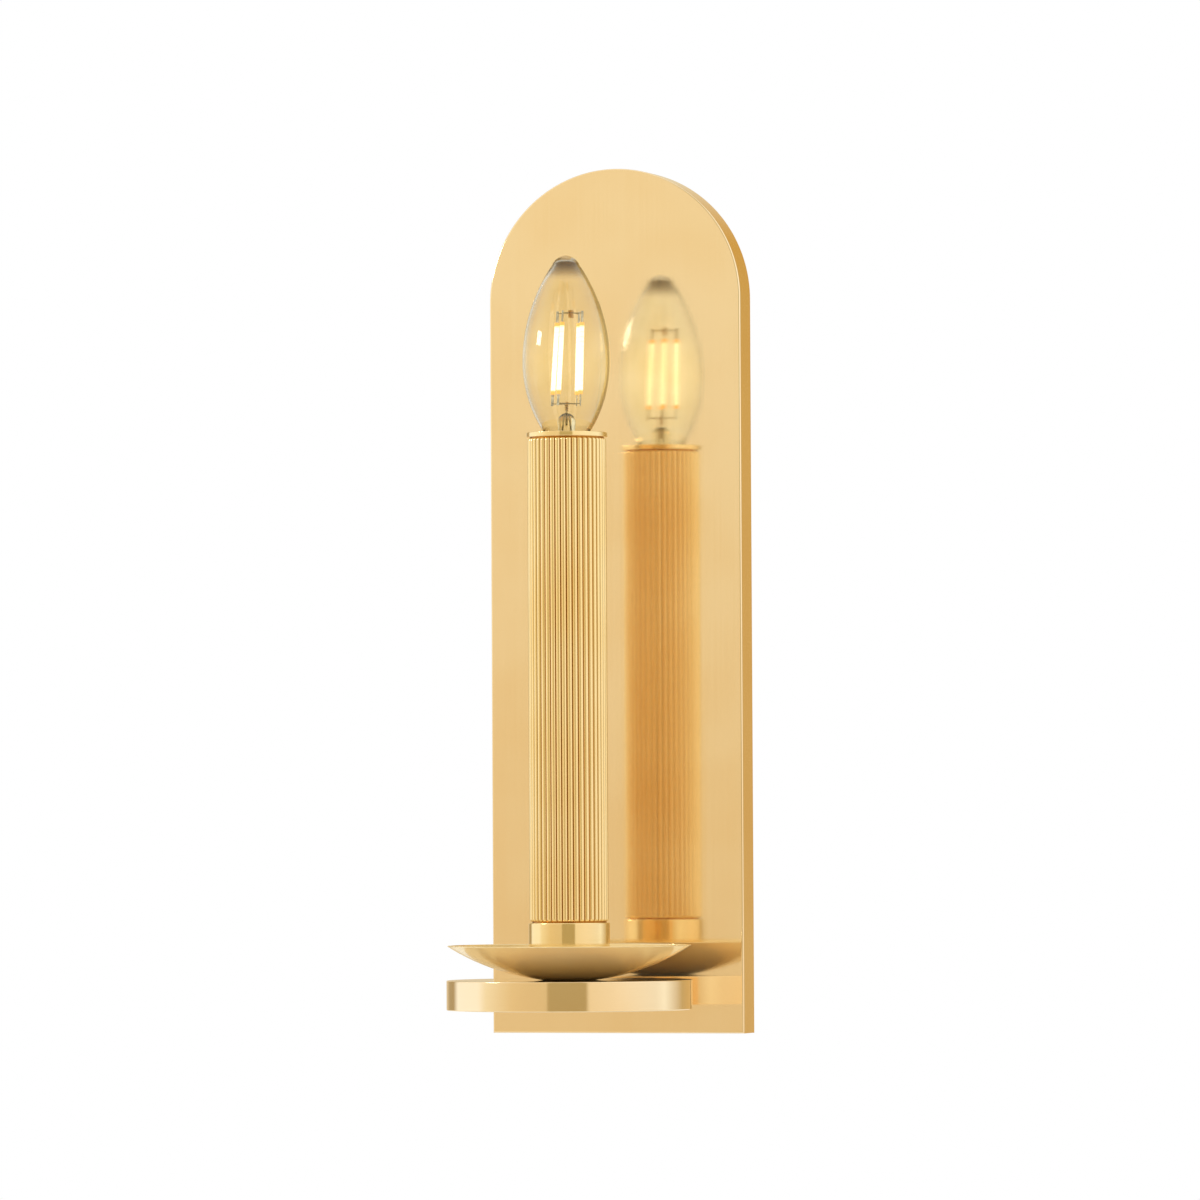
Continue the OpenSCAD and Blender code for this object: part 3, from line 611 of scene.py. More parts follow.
PHOSPHOR = GlowingPhosphor("glowing_phosphor")

SLOT_FINISHES: dict[Slot, Finish] = {
    Slot.PLATE_BRASS: PLATE_BRASS,
    Slot.TURNED_BRASS: TURNED_BRASS,
    Slot.REEDED_BRASS: REEDED_BRASS,
    Slot.FITTING_BRASS: FITTING_BRASS,
    Slot.ZINC_STEEL: ZINC_STEEL,
    Slot.GROUND_GREEN: GROUND_GREEN,
    Slot.CONNECTOR_PLASTIC: CONNECTOR_PLASTIC,
    Slot.MOULDED_BLACK: MOULDED_BLACK,
    Slot.FIBRE_SLEEVE: FIBRE_SLEEVE,
    Slot.LEAD_BLACK: LEAD_BLACK,
    Slot.LEAD_WHITE: LEAD_WHITE,
    Slot.BARE_COPPER: BARE_COPPER,
    Slot.CLEAR_GLASS: CLEAR_GLASS,
    Slot.NICKEL_PLATE: NICKEL_PLATE,
    Slot.FILAMENT_PHOSPHOR: PHOSPHOR,
    Slot.NICKEL_WIRE: NICKEL_WIRE,
}


# Shaping


def arc(centre: Point, radius: float, start: float, stop: float, steps: int) -> list[Point]:
    """Points of a circular arc.

    Args:
        centre: distance of its centre from the axis, and its height.
        radius: radius of the arc.
        start: angle of its first point, in degrees, 0 outwards and 90 up.
        stop: angle of its last point.
        steps: number of steps between them.

    Returns:
        The points, both ends included.
    """
    angles = [math.radians(start + (stop - start) * i / steps) for i in range(steps + 1)]
    return [(centre[0] + radius * math.cos(a), centre[1] + radius * math.sin(a)) for a in angles]


def lathe(profile: Sequence[Point], closed: bool = True, steps: int = TURN_STEPS) -> bmesh.types.BMesh:
    """Turns a profile about the upright axis.

    Args:
        profile: distance from the axis and height of each point.
        closed: True where the last point joins the first.
        steps: number of steps in the full turn.

    Returns:
        A mesh whose faces point outwards.
    """
    bm = bmesh.new()
    points = [bm.verts.new((r, 0.0, z)) for r, z in profile]
    pairs = list(zip(points, points[1:]))
    if closed:
        pairs.append((points[-1], points[0]))
    for pair in pairs:
        bm.edges.new(pair)
    bmesh.ops.spin(
        bm, geom=bm.verts[:] + bm.edges[:], cent=(0, 0, 0), axis=UP, angle=2 * math.pi, steps=steps,
        use_merge=True,
    )
    tidy(bm)
    return bm


def tidy(bm: bmesh.types.BMesh) -> None:
    """Merges doubled points, then turns the faces outwards."""
    bmesh.ops.remove_doubles(bm, verts=bm.verts, dist=MERGE_GAP)
    bmesh.ops.recalc_face_normals(bm, faces=bm.faces)


def move(bm: bmesh.types.BMesh, offset: Sequence[float]) -> bmesh.types.BMesh:
    """Moves a whole mesh.

    Args:
        bm: mesh to move.
        offset: distance along each axis.

    Returns:
        The same mesh.
    """
    bmesh.ops.translate(bm, verts=bm.verts, vec=Vector(offset))
    return bm


def turn(bm: bmesh.types.BMesh, degrees: float, axis: str) -> bmesh.types.BMesh:
    """Turns a whole mesh about the origin.

    Args:
        bm: mesh to turn.
        degrees: angle of the turn.
        axis: name of the axis it turns about.

    Returns:
        The same mesh.
    """
    spin = Matrix.Rotation(math.radians(degrees), 3, axis)
    bmesh.ops.rotate(bm, verts=bm.verts, cent=(0, 0, 0), matrix=spin)
    return bm


def soften(bm: bmesh.types.BMesh, width: float, segments: int = 3, over: float = 40.0) -> bmesh.types.BMesh:
    """Rounds every edge sharper than an angle.

    Args:
        bm: mesh to round.
        width: width of the rounding.
        segments: number of faces across it.
        over: smallest angle, in degrees, that counts as an edge.

    Returns:
        The same mesh.
    """
    sharp = [e for e in bm.edges if len(e.link_faces) == 2 and e.calc_face_angle() > math.radians(over)]
    bmesh.ops.bevel(
        bm, geom=sharp, offset=width, affect="EDGES", segments=segments, profile=0.5, material=-1,
        clamp_overlap=True,
    )
    return bm


def prism(sides: int, radius: float, height: float, top: float | None = None) -> bmesh.types.BMesh:
    """Stands a prism or cone on the origin.

    Args:
        sides: number of its sides.
        radius: radius at its foot.
        height: its height.
        top: radius at its top, where that is another one.

    Returns:
        The new mesh.
    """
    bm = bmesh.new()
    top = radius if top is None else top
    bmesh.ops.create_cone(bm, cap_ends=True, segments=sides, radius1=radius, radius2=top, depth=height)
    return move(bm, (0, 0, height / 2))


def nipple_bore(length: float, front_y: float) -> bmesh.types.BMesh:
    """Makes the cutter of the hole that the arm's nipple goes through.

    Args:
        length: length of the cutter.
        front_y: where its end nearest the wall lies.

    Returns:
        The new mesh.
    """
    return move(turn(prism(64, NIPPLE_HOLE_R, length), 90, "X"), (0, front_y, ARM_Z))


def block(low: Sequence[float], high: Sequence[float]) -> bmesh.types.BMesh:
    """Makes a block between two corners.

    Args:
        low: its lowest corner.
        high: its highest corner.

    Returns:
        The new mesh.
    """
    bm = bmesh.new()
    bmesh.ops.create_cube(bm, size=1.0)
    low, high = Vector(low), Vector(high)
    bmesh.ops.scale(bm, verts=bm.verts, vec=high - low)
    return move(bm, (low + high) / 2)


def as_object(name: str, bm: bmesh.types.BMesh) -> bpy.types.Object:
    """Makes a scene object of a mesh in millimetres.

    Args:
        name: name of the object.
        bm: its mesh, freed here.

    Returns:
        The object, at the origin and in metres.
    """
    bmesh.ops.scale(bm, verts=bm.verts, vec=(MM, MM, MM))
    mesh = bpy.data.meshes.new(name)
    bm.to_mesh(mesh)
    bm.free()
    obj = bpy.data.objects.new(name, mesh)
    bpy.context.scene.collection.objects.link(obj)
    return obj


def settle_mesh(obj: bpy.types.Object) -> None:
    """Replaces an object's mesh by what its modifiers make of it."""
    graph = bpy.context.evaluated_depsgraph_get()
    mesh = bpy.data.meshes.new_from_object(obj.evaluated_get(graph), depsgraph=graph)
    obj.modifiers.clear()
    obj.data = mesh


def drill(bm: bmesh.types.BMesh, cutters: Sequence[bmesh.types.BMesh]) -> bmesh.types.BMesh:
    """Cuts holes in a closed mesh.

    Args:
        bm: mesh to cut, in millimetres.
        cutters: solids to take away, freed here.

    Returns:
        The cut mesh, in millimetres.
    """
    work = as_object("work", bm)
    tools = [as_object(f"cutter_{i}", cutter) for i, cutter in enumerate(cutters)]
    for tool in tools:
        cut = work.modifiers.new(tool.name, "BOOLEAN")
        cut.operation = "DIFFERENCE"
        cut.solver = "EXACT"
        cut.object = tool
    settle_mesh(work)
    result = bmesh.new()
    result.from_mesh(work.data)
    for obj in [work, *tools]:
        bpy.data.objects.remove(obj)
    bmesh.ops.scale(result, verts=result.verts, vec=(1 / MM, 1 / MM, 1 / MM))
    bmesh.ops.remove_doubles(result, verts=result.verts, dist=MERGE_GAP)
    return result


def drawn_wire(points: Sequence[Sequence[float]], radius: float, smooth: bool = True) -> bmesh.types.BMesh:
    """Draws a round wire along a line.

    Args:
        points: points of its centre line.
        radius: radius of the wire.
        smooth: True where it bends in curves, and False where it has corners.

    Returns:
        The new mesh, in millimetres.
    """
    curve = bpy.data.curves.new("wire", "CURVE")
    curve.dimensions = "3D"
    curve.bevel_depth = radius
    curve.bevel_resolution = 3
    curve.use_fill_caps = True
    spline = curve.splines.new("NURBS" if smooth else "POLY")
    spline.points.add(len(points) - 1)
    for place, point in zip(spline.points, points):
        place.co = (*point, 1.0)
    if smooth:
        spline.order_u = 3
        spline.use_endpoint_u = True
        spline.resolution_u = 6
    holder = bpy.data.objects.new("wire", curve)
    bpy.context.scene.collection.objects.link(holder)
    graph = bpy.context.evaluated_depsgraph_get()
    settled = bpy.data.meshes.new_from_object(holder.evaluated_get(graph))
    bm = bmesh.new()
    bm.from_mesh(settled)
    bpy.data.objects.remove(holder)
    tidy(bm)
    return bm


def join(*parts: bmesh.types.BMesh) -> bmesh.types.BMesh:
    """Puts several meshes into the first one.

    Args:
        parts: meshes to put together. All but the first are freed.

    Returns:
        The first mesh, with the others in it.
    """
    whole = parts[0]
    for part in parts[1:]:
        carrier = bpy.data.meshes.new("carrier")
        part.to_mesh(carrier)
        part.free()
        whole.from_mesh(carrier)
        bpy.data.meshes.remove(carrier)
    return whole


def keep(
    name: str,
    bm: bmesh.types.BMesh,
    finish: Finish,
    body: str,
    nodes: Sequence[str] = (),
    smooth: float = 32.0,
) -> bpy.types.Object:
    """Finishes a piece and lets it ride on its body.

    Args:
        name: name of the piece.
        bm: its mesh in millimetres, freed here.
        finish: its surface finish.
        body: body that it rides on.
        nodes: CAD nodes that it stands for.
        smooth: edges up to this angle, in degrees, are shaded smooth.

    Returns:
        The finished piece.
    """
    obj = as_object(name, bm)
    obj.data.shade_smooth()
    obj.data.set_sharp_from_angle(angle=math.radians(smooth))
    obj.data.materials.append(finish.material())
    flats = obj.modifiers.new("even_flats", "WEIGHTED_NORMAL")
    flats.keep_sharp = True
    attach(obj, body)
    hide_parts(*nodes)
    log.info("%s: %d faces", name, len(obj.data.polygons))
    return obj


# Sub-assemblies


@dataclass
class BackPan:
    """Arched pan pressed from brass sheet, with the two countersunk holes of its locking screws."""

    wall: float = 1.5
    edge: float = 0.7
    calm: float = 0.5
    arch_steps: int = 128
    lock_pitch: float = 44.0
    lock_hole_r: float = 1.8
    lock_sink_r: float = 3.1
    lock_sink_depth: float = 1.3
    head_r: float = 2.8
    head_h: float = 1.3
    shank_r: float = 1.44
    screw_len: float = 7.5

    def build(self) -> None:
        """Builds the pan and its locking screws."""
        keep("pan_pressed", self._pan(), PLATE_BRASS, "fixture", ["back_plate"])
        for name, place in zip(("left", "right"), self._lock_places()):
            screw = move(self._screw(), place)
            keep(f"lock_screw_{name}_turned", screw, PLATE_BRASS,
                 f"lock_screw_{name}", [f"lock_screw_{name}"])

    def _lock_places(self) -> list[Vector]:
        """Returns where the left and the right locking screw stand."""
        low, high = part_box("lock_screw_left")
        foot_y = (low.y + high.y) / 2 / MM
        return [Vector((side * self.lock_pitch / 2, foot_y, AT.foot_z)) for side in (-1, 1)]

    def _pan(self) -> bmesh.types.BMesh:
        """Presses the pan: outline, face, calm border, rounded front edge, then the sheet's thickness.

        Returns:
            The pan's mesh.
        """
        bm = bmesh.new()
        spring = AT.crown_z - AT.half_w
        first = bm.verts.new((AT.half_w, 0.0, spring))
        turned = bmesh.ops.spin(
            bm, geom=[first], cent=(0, 0, spring), axis=(0, -1, 0), angle=math.pi, steps=self.arch_steps
        )
        last = next(item for item in turned["geom_last"] if isinstance(item, bmesh.types.BMVert))
        feet = bmesh.ops.extrude_vert_indiv(bm, verts=[first, last])["verts"]
        bmesh.ops.translate(bm, verts=feet, vec=(0, 0, AT.foot_z - spring))
        bmesh.ops.contextual_create(bm, geom=feet)
        bmesh.ops.edgeloop_fill(bm, edges=bm.edges)
        pushed = bmesh.ops.extrude_face_region(bm, geom=bm.faces[:], use_keep_orig=False)["geom"]
        face = next(item for item in pushed if isinstance(item, bmesh.types.BMFace))
        bmesh.ops.translate(bm, verts=face.verts, vec=(0, AT.face_y, 0))
        back = [f for f in bm.faces if all(abs(v.co.y) < MERGE_GAP for v in f.verts)]
        bmesh.ops.delete(bm, geom=back, context="FACES_ONLY")
        bmesh.ops.recalc_face_normals(bm, faces=bm.faces)
        if face.normal.y > 0:
            bmesh.ops.reverse_faces(bm, faces=bm.faces)
        rim = list(face.edges)
        bmesh.ops.bevel(bm, geom=rim, offset=self.edge, affect="EDGES", segments=4, profile=0.5, material=-1)
        broad = max(bm.faces, key=lambda f: f.calc_area())
        bmesh.ops.inset_region(bm, faces=[broad], thickness=self.calm)
        bmesh.ops.solidify(bm, geom=bm.faces[:], thickness=self.wall)
        bmesh.ops.recalc_face_normals(bm, faces=bm.faces)
        cutters = []
        for place in self._lock_places():
            cutters.append(move(prism(48, self.lock_hole_r, self.wall + 2), place - UP))
            sink = prism(48, self.lock_sink_r, self.lock_sink_depth, self.lock_hole_r)
            cutters.append(move(sink, place - UP * 0.02))
        return drill(bm, [*cutters, nipple_bore(6.0, AT.face_y + 4)])

    def _screw(self) -> bmesh.types.BMesh:
        """Turns a countersunk locking screw with a slot, its head down.

        Returns:
            The screw's mesh, with the underside of its head at the origin.
        """
        head_r, shank_r, length = self.head_r, self.shank_r, self.screw_len
        profile = [
            (0.0, 0.0), (head_r - 0.2, 0.0), (head_r, 0.15), (shank_r, self.head_h),
            (shank_r, length - 0.5), (shank_r - 0.5, length), (0.0, length),
        ]
        return drill(lathe(profile, closed=False, steps=48), [block((-4, -0.35, -1), (4, 0.35, 0.6))])


@dataclass
class DiscArm:
    """Turned brass disc, the block that carries it, and the screwed cover of its wiring pocket."""

    edge: float = 0.4
    pocket_r: float = 13.0
    pocket_roof: float = 2.5
    cover_r: float = 20.0
    cover_t: float = 1.2
    screws: int = 3
    screw_r: float = 1.25
    screw_head_r: float = 2.2
    screw_len: float = 5.5
    play: float = 0.05
    chamfer: float = 0.25
    under_head: float = 0.2

    def build(self) -> None:
        """Builds the disc, its cover, the block behind it and the cover's screws."""
        base = AT.disc_base_z
        keep("arm_disc_turned", self._disc(), TURNED_BRASS, "fixture", ["arm_disc"])
        keep("disc_cover_turned", self._cover(), TURNED_BRASS, "fixture", ["disc_cover"])
        keep("arm_block_milled", self._block(), PLATE_BRASS, "fixture", ["arm_block"])
        screws = join(*(move(self._screw(), (x, y, base)) for x, y in self._screw_places()))
        keep("cover_screws_turned", screws, FITTING_BRASS, "fixture", ["cover_screws"])

    def _screw_places(self) -> list[Point]:
        """Returns where the cover's screws stand."""
        ring = (self.pocket_r + self.cover_r) / 2
        angles = [math.radians(360 * i / self.screws - 90) for i in range(self.screws)]
        return [(ring * math.cos(a), AT.axis_y + ring * math.sin(a)) for a in angles]

    def _disc(self) -> bmesh.types.BMesh:
        """Turns the disc with its pocket, then drills the holes of the nipple and the screws.

        Returns:
            The disc's mesh.
        """
        base, top, r, e = AT.disc_base_z, AT.disc_top_z, AT.disc_r, self.edge
        roof = top - self.pocket_roof
        profile = [
            (STEM_HOLE_R, top),
            *arc((r - e, top - e), e, 90, 0, 4),
            *arc((r - e, base + e), e, 0, -90, 4),
            (self.cover_r + self.chamfer, base),
            (self.cover_r + self.play, base + 0.2),
            (self.cover_r + self.play, base + self.cover_t),
            (self.pocket_r, base + self.cover_t),
            (self.pocket_r, roof),
            (STEM_HOLE_R, roof),
        ]
        cutters = [nipple_bore(AT.disc_r, AT.axis_y + AT.disc_r + 1)]
        hole_r = self.screw_r + self.play
        for x, y in self._screw_places():
            cutters.append(move(prism(24, hole_r, self.screw_len + 1), (x, y, base - 0.5)))
        return drill(move(lathe(profile), AXIS), cutters)

    def _cover(self) -> bmesh.types.BMesh:
        """Turns the flat cover with a fine chamfer and countersinks its screw holes.

        Returns:
            The cover's mesh.
        """
        base, top = AT.disc_base_z, AT.disc_base_z + self.cover_t
        profile = [
            (0.0, base), (self.cover_r - self.chamfer, base), (self.cover_r, base + self.chamfer),
            (self.cover_r, top), (0.0, top),
        ]
        cutters = []
        hole_r = self.screw_r + self.play
        for x, y in self._screw_places():
            cutters.append(move(prism(48, hole_r, 4.0), (x, y, base - 1)))
            sink = prism(48, self.screw_head_r + self.play, self.cover_t - self.under_head, hole_r)
            cutters.append(move(sink, (x, y, base - 0.01)))
        return drill(move(lathe(profile, closed=False), AXIS), cutters)

    def _block(self) -> bmesh.types.BMesh:
        """Mills the block behind the disc, hollowed to the disc's rim.

        Returns:
            The block's mesh.
        """
        low, high = (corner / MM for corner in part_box("arm_block"))
        bm = soften(block(low, high), 0.35)
        rim = move(prism(256, AT.disc_r + self.play, 30), (0, AT.axis_y, AT.disc_base_z - 8))
        return drill(bm, [rim, nipple_bore(60, AT.face_y + 5)])

    def _screw(self) -> bmesh.types.BMesh:
        """Turns one slotted countersunk cover screw.

        Returns:
            The screw's mesh.
        """
        profile = [
            (0.0, 0.0), (self.screw_head_r - 0.15, 0.0), (self.screw_head_r, 0.1),
            (self.screw_r, self.cover_t - self.under_head), (self.screw_r, self.screw_len),
            (0.0, self.screw_len),
        ]
        slot = block((-3, -0.25, -0.2), (3, 0.25, 0.5))
        return drill(lathe(profile, closed=False, steps=32), [turn(slot, 30, "Z")])


@dataclass
class DishAndCup:
    """Shallow spun dish on the disc and the plain turned cup that stands in it."""

    sheet: float = 0.8
    flat_r: float = 10.5
    foot_r: float = 9.5
    foot_h: float = 3.0
    floor: float = 3.0
    bore_r: float = 14.36
    edge: float = 0.5
    lip_degrees: float = 0.35
    lip_drop: float = 0.12
    lip_round: float = 0.14
    bow_steps: int = 40

    def build(self) -> None:
        """Builds the dish and the cup."""
        keep("dish_spun", self._dish(), SPUN_BRASS, "fixture", ["dish"])
        keep("cup_turned", self._cup(), CUP_BRASS, "fixture", ["cup"])

    def _dish(self) -> bmesh.types.BMesh:
        """Spins the dish: a shallow bowl with a rolled lip.

        Returns:
            The dish's mesh.
        """
        depth = AT.rim_z - AT.disc_top_z
        rim_r = AT.disc_r
        centre = (rim_r ** 2 + depth ** 2 - self.flat_r ** 2) / (2 * depth)
        outer = math.hypot(self.flat_r, centre)
        inner = outer - self.sheet
        start = -math.degrees(math.acos(self.flat_r / outer))
        stop = -math.degrees(math.asin((centre - depth) / outer)) - self.lip_degrees
        inner_stop = -math.degrees(math.asin((centre - depth) / inner)) - self.lip_degrees
        inner_start = -math.degrees(math.asin((centre - self.sheet) / inner))
        under = arc((0, centre), outer, start, stop, self.bow_steps)
        over = arc((0, centre), inner, inner_stop, inner_start, self.bow_steps)
        (x0, z0), (x1, z1) = under[-1], over[0]
        lip = [(x0 + 0.02, depth - self.lip_drop), (x0 - self.lip_round, depth), (x1 + self.lip_round, depth)]
        profile = [(STEM_HOLE_R, 0.0), *under, *lip, *over, (STEM_HOLE_R, self.sheet)]
        return move(lathe(profile), (0, AT.axis_y, AT.disc_top_z))

    def _cup(self) -> bmesh.types.BMesh:
        """Turns the cup: a foot, a wall with rounded lips and the bore of the candle tube.

        Returns:
            The cup's mesh.
        """
        r, e, top = AT.cup_r, self.edge, AT.cup_top_z - AT.disc_top_z - self.sheet
        floor_z = self.foot_h + self.floor
        profile = [
            (STEM_HOLE_R, 0.0), (self.foot_r, 0.0), (self.foot_r, self.foot_h),
            *arc((r - e, self.foot_h + e), e, -90, 0, 5),
            *arc((r - e, top - e), e, 0, 90, 5),
            (self.bore_r + 0.2, top), (self.bore_r, top - 0.2), (self.bore_r, floor_z),
            (STEM_HOLE_R, floor_z),
        ]
        return move(lathe(profile), (0, AT.axis_y, AT.disc_top_z + self.sheet))


@dataclass
class ReededCandle:
    """Reeded brass tube with its spigot, and the thin cap that carries the lamp."""

    reeds: int = 42
    reed_depth: float = 0.85
    steps_per_reed: int = 12
    margin: float = 0.5
    round_end: float = 1.1
    end_steps: int = 5
    bore_r: float = 13.2
    spigot_r: float = 14.3
    cap_hole_r: float = 12.0
    cap_edge: float = 0.28
    cap_neck_r: float = 13.15
    cap_neck: float = 4.0

    def build(self) -> None:
        """Builds the tube and the cap."""
        keep("candle_tube_reeded", self._tube(), REEDED_BRASS, "candle", ["candle_tube"],
             smooth=50)
        keep("tube_cap_turned", self._cap(), CUP_BRASS, "candle", ["tube_cap"])

    def _tube(self) -> bmesh.types.BMesh:
        """Turns the plain tube, then raises its reeds.

        Returns:
            The tube's mesh.
        """
        low, high = AT.cup_top_z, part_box("candle_tube")[1].z / MM
        groove_r = self._reed_r() - self.reed_depth
        turns = [math.pi / 2 * i / self.end_steps for i in range(self.end_steps + 1)]
        ends = [self.round_end * (1 - math.cos(a)) for a in turns]
        heights = [low + self.margin + d for d in ends]
        heights += [high - self.margin - d for d in reversed(ends)]
        profile = [
            (self.bore_r, high), (groove_r, high), *((groove_r, z) for z in reversed(heights)),
            (groove_r, low), (self.spigot_r, low), (self.spigot_r, AT.spigot_z), (self.bore_r, AT.spigot_z),
        ]
        bm = lathe(profile, steps=self.reeds * self.steps_per_reed)
        for vert in bm.verts:
            self._raise_reed(vert, groove_r, low + self.margin, high - self.margin)
        return move(bm, AXIS)

    def _reed_r(self) -> float:
        """Returns the radius over the reeds."""
        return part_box("candle_tube")[1].x / MM

    def _raise_reed(self, vert: bmesh.types.BMVert, groove_r: float, low: float, high: float) -> None:
        """Moves a point of the plain tube onto the rounded reed that it belongs to.

        Args:
            vert: point to move.
            groove_r: radius at the foot of the grooves.
            low: height where the reeds start.
            high: height where they end.
        """
        x, y, z = vert.co
        inside = low - MERGE_GAP < z < high + MERGE_GAP
        if not inside or abs(math.hypot(x, y) - groove_r) > 0.01:
            return
        near_end = min(z - low, high - z, self.round_end) / self.round_end
        swell = math.sqrt(max(0.0, 1 - (1 - near_end) ** 2))
        half_pitch = math.pi / self.reeds
        rise = groove_r + self.reed_depth - groove_r * math.cos(half_pitch)
        reach = groove_r * math.sin(half_pitch)
        bead_r = (rise ** 2 + reach ** 2) / (2 * rise)
        sweep = math.asin(reach / bead_r)
        step = round(math.atan2(y, x) / (2 * half_pitch) * self.steps_per_reed)
        reed, part = divmod(step + self.steps_per_reed // 2, self.steps_per_reed)
        bead_angle = sweep * (2 * part / self.steps_per_reed - 1)
        out = groove_r + self.reed_depth - bead_r + bead_r * math.cos(bead_angle)
        side = bead_r * math.sin(bead_angle)
        full = math.hypot(out, side)
        around = reed * 2 * half_pitch + math.atan2(side, out)
        radius = groove_r + (full - groove_r) * swell
        vert.co = (radius * math.cos(around), radius * math.sin(around), z)

    def _cap(self) -> bmesh.types.BMesh:
        """Turns the cap with softly rounded rims and its neck in the tube.

        Returns:
            The cap's mesh.
        """
        low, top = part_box("candle_tube")[1].z / MM, AT.cap_top_z
        r, e = AT.cap_r, self.cap_edge
        profile = [
            (self.cap_hole_r, low - self.cap_neck), (self.cap_neck_r, low - self.cap_neck),
            (self.cap_neck_r, low), *arc((r - e, low + e), e, -90, 0, 4),
            *arc((r - e, top - e), e, 0, 90, 4), *arc((self.cap_hole_r + e, top - e), e, 90, 180, 4),
        ]
        return move(lathe(profile), AXIS)


@dataclass(frozen=True)
class Coil:
    """Wire wound in an upright helix, with the radius and height of its centre line."""

    radius: float
    height: float
    turns: int
    wire_r: float

    def wind(self, centre: Vector) -> bmesh.types.BMesh:
        """Winds the wire.

        Args:
            centre: middle of the helix.

        Returns:
            The helix's mesh.
        """
        steps = self.turns * 14
        points = []
        for i in range(steps + 1):
            angle = 2 * math.pi * self.turns * i / steps
            rise = self.height * (i / steps - 0.5)
            out = Vector((self.radius * math.cos(angle), self.radius * math.sin(angle), rise))
            points.append(centre + out)
        return drawn_wire(points, self.wire_r, smooth=False)


@dataclass
class TorpedoLamp:
    """Clear torpedo lamp: blown glass, glass stem, glowing sticks on their wires and a threaded base."""

    belly: float = 28.5
    upper_arc: float = 69.5
    lower_arc: float = 52.2
    wall: float = 0.8
    base_r: float = 5.95
    base_drop: float = 4.6
    base_len: float = 13.5
    thread_pitch: float = 2.54
    thread_depth: float = 0.45
    nose_h: float = 3.8
    lens_t: float = 1.7
    lens_swell: float = 0.45
    lens_reach: float = 8.0
    glass_steps: int = 44
    stick_r: float = 0.95
    stick_edge: float = 0.3
    stick_len: float = 29.0
    stick_rise: float = 15.5
    top_r: float = 5.4
    foot_r: float = 6.0
    top_shift: float = 1.6
    foot_shift: float = 0.3
    stick_angles: tuple[float, ...] = (67.0, -8.0, 253.0, 184.0)
    lean_towards: float = 18.4
    tab_len: float = 4.6
    tab_half: tuple[float, float] = (0.55, 0.12)
    tab_lap: float = 0.6
    wire_r: float = 0.22
    post_r: float = 0.3
    stem_top: float = 8.0
    stem_r: float = 3.7
    spring: Coil = Coil(1.0, 3.0, 5, 0.2)
    knot: Coil = Coil(0.55, 3.4, 4, 0.26)
    knot_rise: float = 10.6
    shell_t: float = 0.35
    shell_hole_r: float = 3.6
    thread_low: float = 0.7
    thread_end: float = 0.4
    thread_fade: float = 1.5
    contact_r: float = 2.4

    def build(self) -> None:
        """Builds every piece of the lamp."""
        keep("lamp_glass_blown", self._glass(), CLEAR_GLASS, "lamp", ["lamp_glass"])
        keep("lamp_stem_pressed", self._stem(), CLEAR_GLASS, "lamp", ["lamp_stem"])
        sticks = join(*(self._stick(a) for a in self.stick_angles))
        keep("filament_sticks", sticks, PHOSPHOR, "lamp", ["lamp_filaments"])
        tabs = join(*(self._tab(a, upper) for a in self.stick_angles for upper in (True, False)))
        keep("filament_tabs", tabs, TAB_STEEL, "lamp")
        keep("lamp_support_wires", self._supports(), NICKEL_WIRE, "lamp", ["lamp_supports"])
        keep("lamp_coil", self._coil(), COIL_BRASS, "lamp")
        keep("lamp_base_threaded", self._base(), NICKEL_PLATE, "lamp", ["lamp_base"])
        keep("lamp_insulator_moulded", self._insulator(), MOULDED_BLACK, "lamp",
             ["lamp_insulator"])
        keep("lamp_contact_soldered", self._contact(), SOLDER, "lamp", ["lamp_contact"])

    def _glass_r(self, height: float, inset: float) -> float:
        """Radius of the glass.

        Args:
            height: height above the cap.
            inset: distance inside the outer surface.

        Returns:
            The radius there.
        """
        bow = self.upper_arc if height > self.belly else self.lower_arc
        return math.sqrt((bow - inset) ** 2 - (height - self.belly) ** 2) - (bow - AT.lamp_r)

    def _glass(self) -> bmesh.types.BMesh:
        """Blows the envelope, thick at its tip and open at its neck.

        Returns:
            The envelope's mesh.
        """
        seat = -self.base_drop + 0.05
        tip = AT.lamp_tip_z - AT.cap_top_z
        neck_r = self.base_r - 0.6
        shoulder = tip - self.nose_h
        nose_r = self._glass_r(shoulder, 0)
        nose_bow = (nose_r ** 2 + self.nose_h ** 2) / (2 * self.nose_h)
        rising = [seat + (shoulder - seat) * i / self.glass_steps for i in range(self.glass_steps + 1)]
        outer = [(neck_r, seat - 4), (neck_r, seat), *((self._glass_r(h, 0), h) for h in rising)]
        opening = math.degrees(math.asin((nose_bow - self.nose_h) / nose_bow))
        dome = arc((0.0, tip - nose_bow), nose_bow, opening, 90, 12)[1:-1]
        hollow_top, hollow_low = shoulder - 0.4, seat + 3
        falling = [hollow_top + (hollow_low - hollow_top) * i / self.glass_steps
                   for i in range(self.glass_steps + 1)]
        walls = [(self._glass_r(h, self._wall_t(h, hollow_top)), h) for h in falling]
        hollow_r = walls[0][0]
        rise = tip - self.lens_t - hollow_top
        ceiling = [(hollow_r * math.sin(a), hollow_top + rise * math.cos(a))
                   for a in (math.radians(90 * i / 10) for i in range(10))]
        inner = [*ceiling, *walls, (neck_r - self.wall, seat + 1.6), (neck_r - self.wall, seat - 4)]
        return move(lathe([*outer, *dome, (0.0, tip), *inner], steps=128), CAP_TOP)

    def _wall_t(self, height: float, hollow_top: float) -> float:
        """Thickness of the glass, which grows towards the lens at the tip.

        Args:
            height: height above the cap.
            hollow_top: height where the hollow starts to close.

        Returns:
            The thickness there.
        """
        share = max(0.0, 1 - (hollow_top - height) / self.lens_reach)
        return self.wall + self.lens_swell * share ** 2

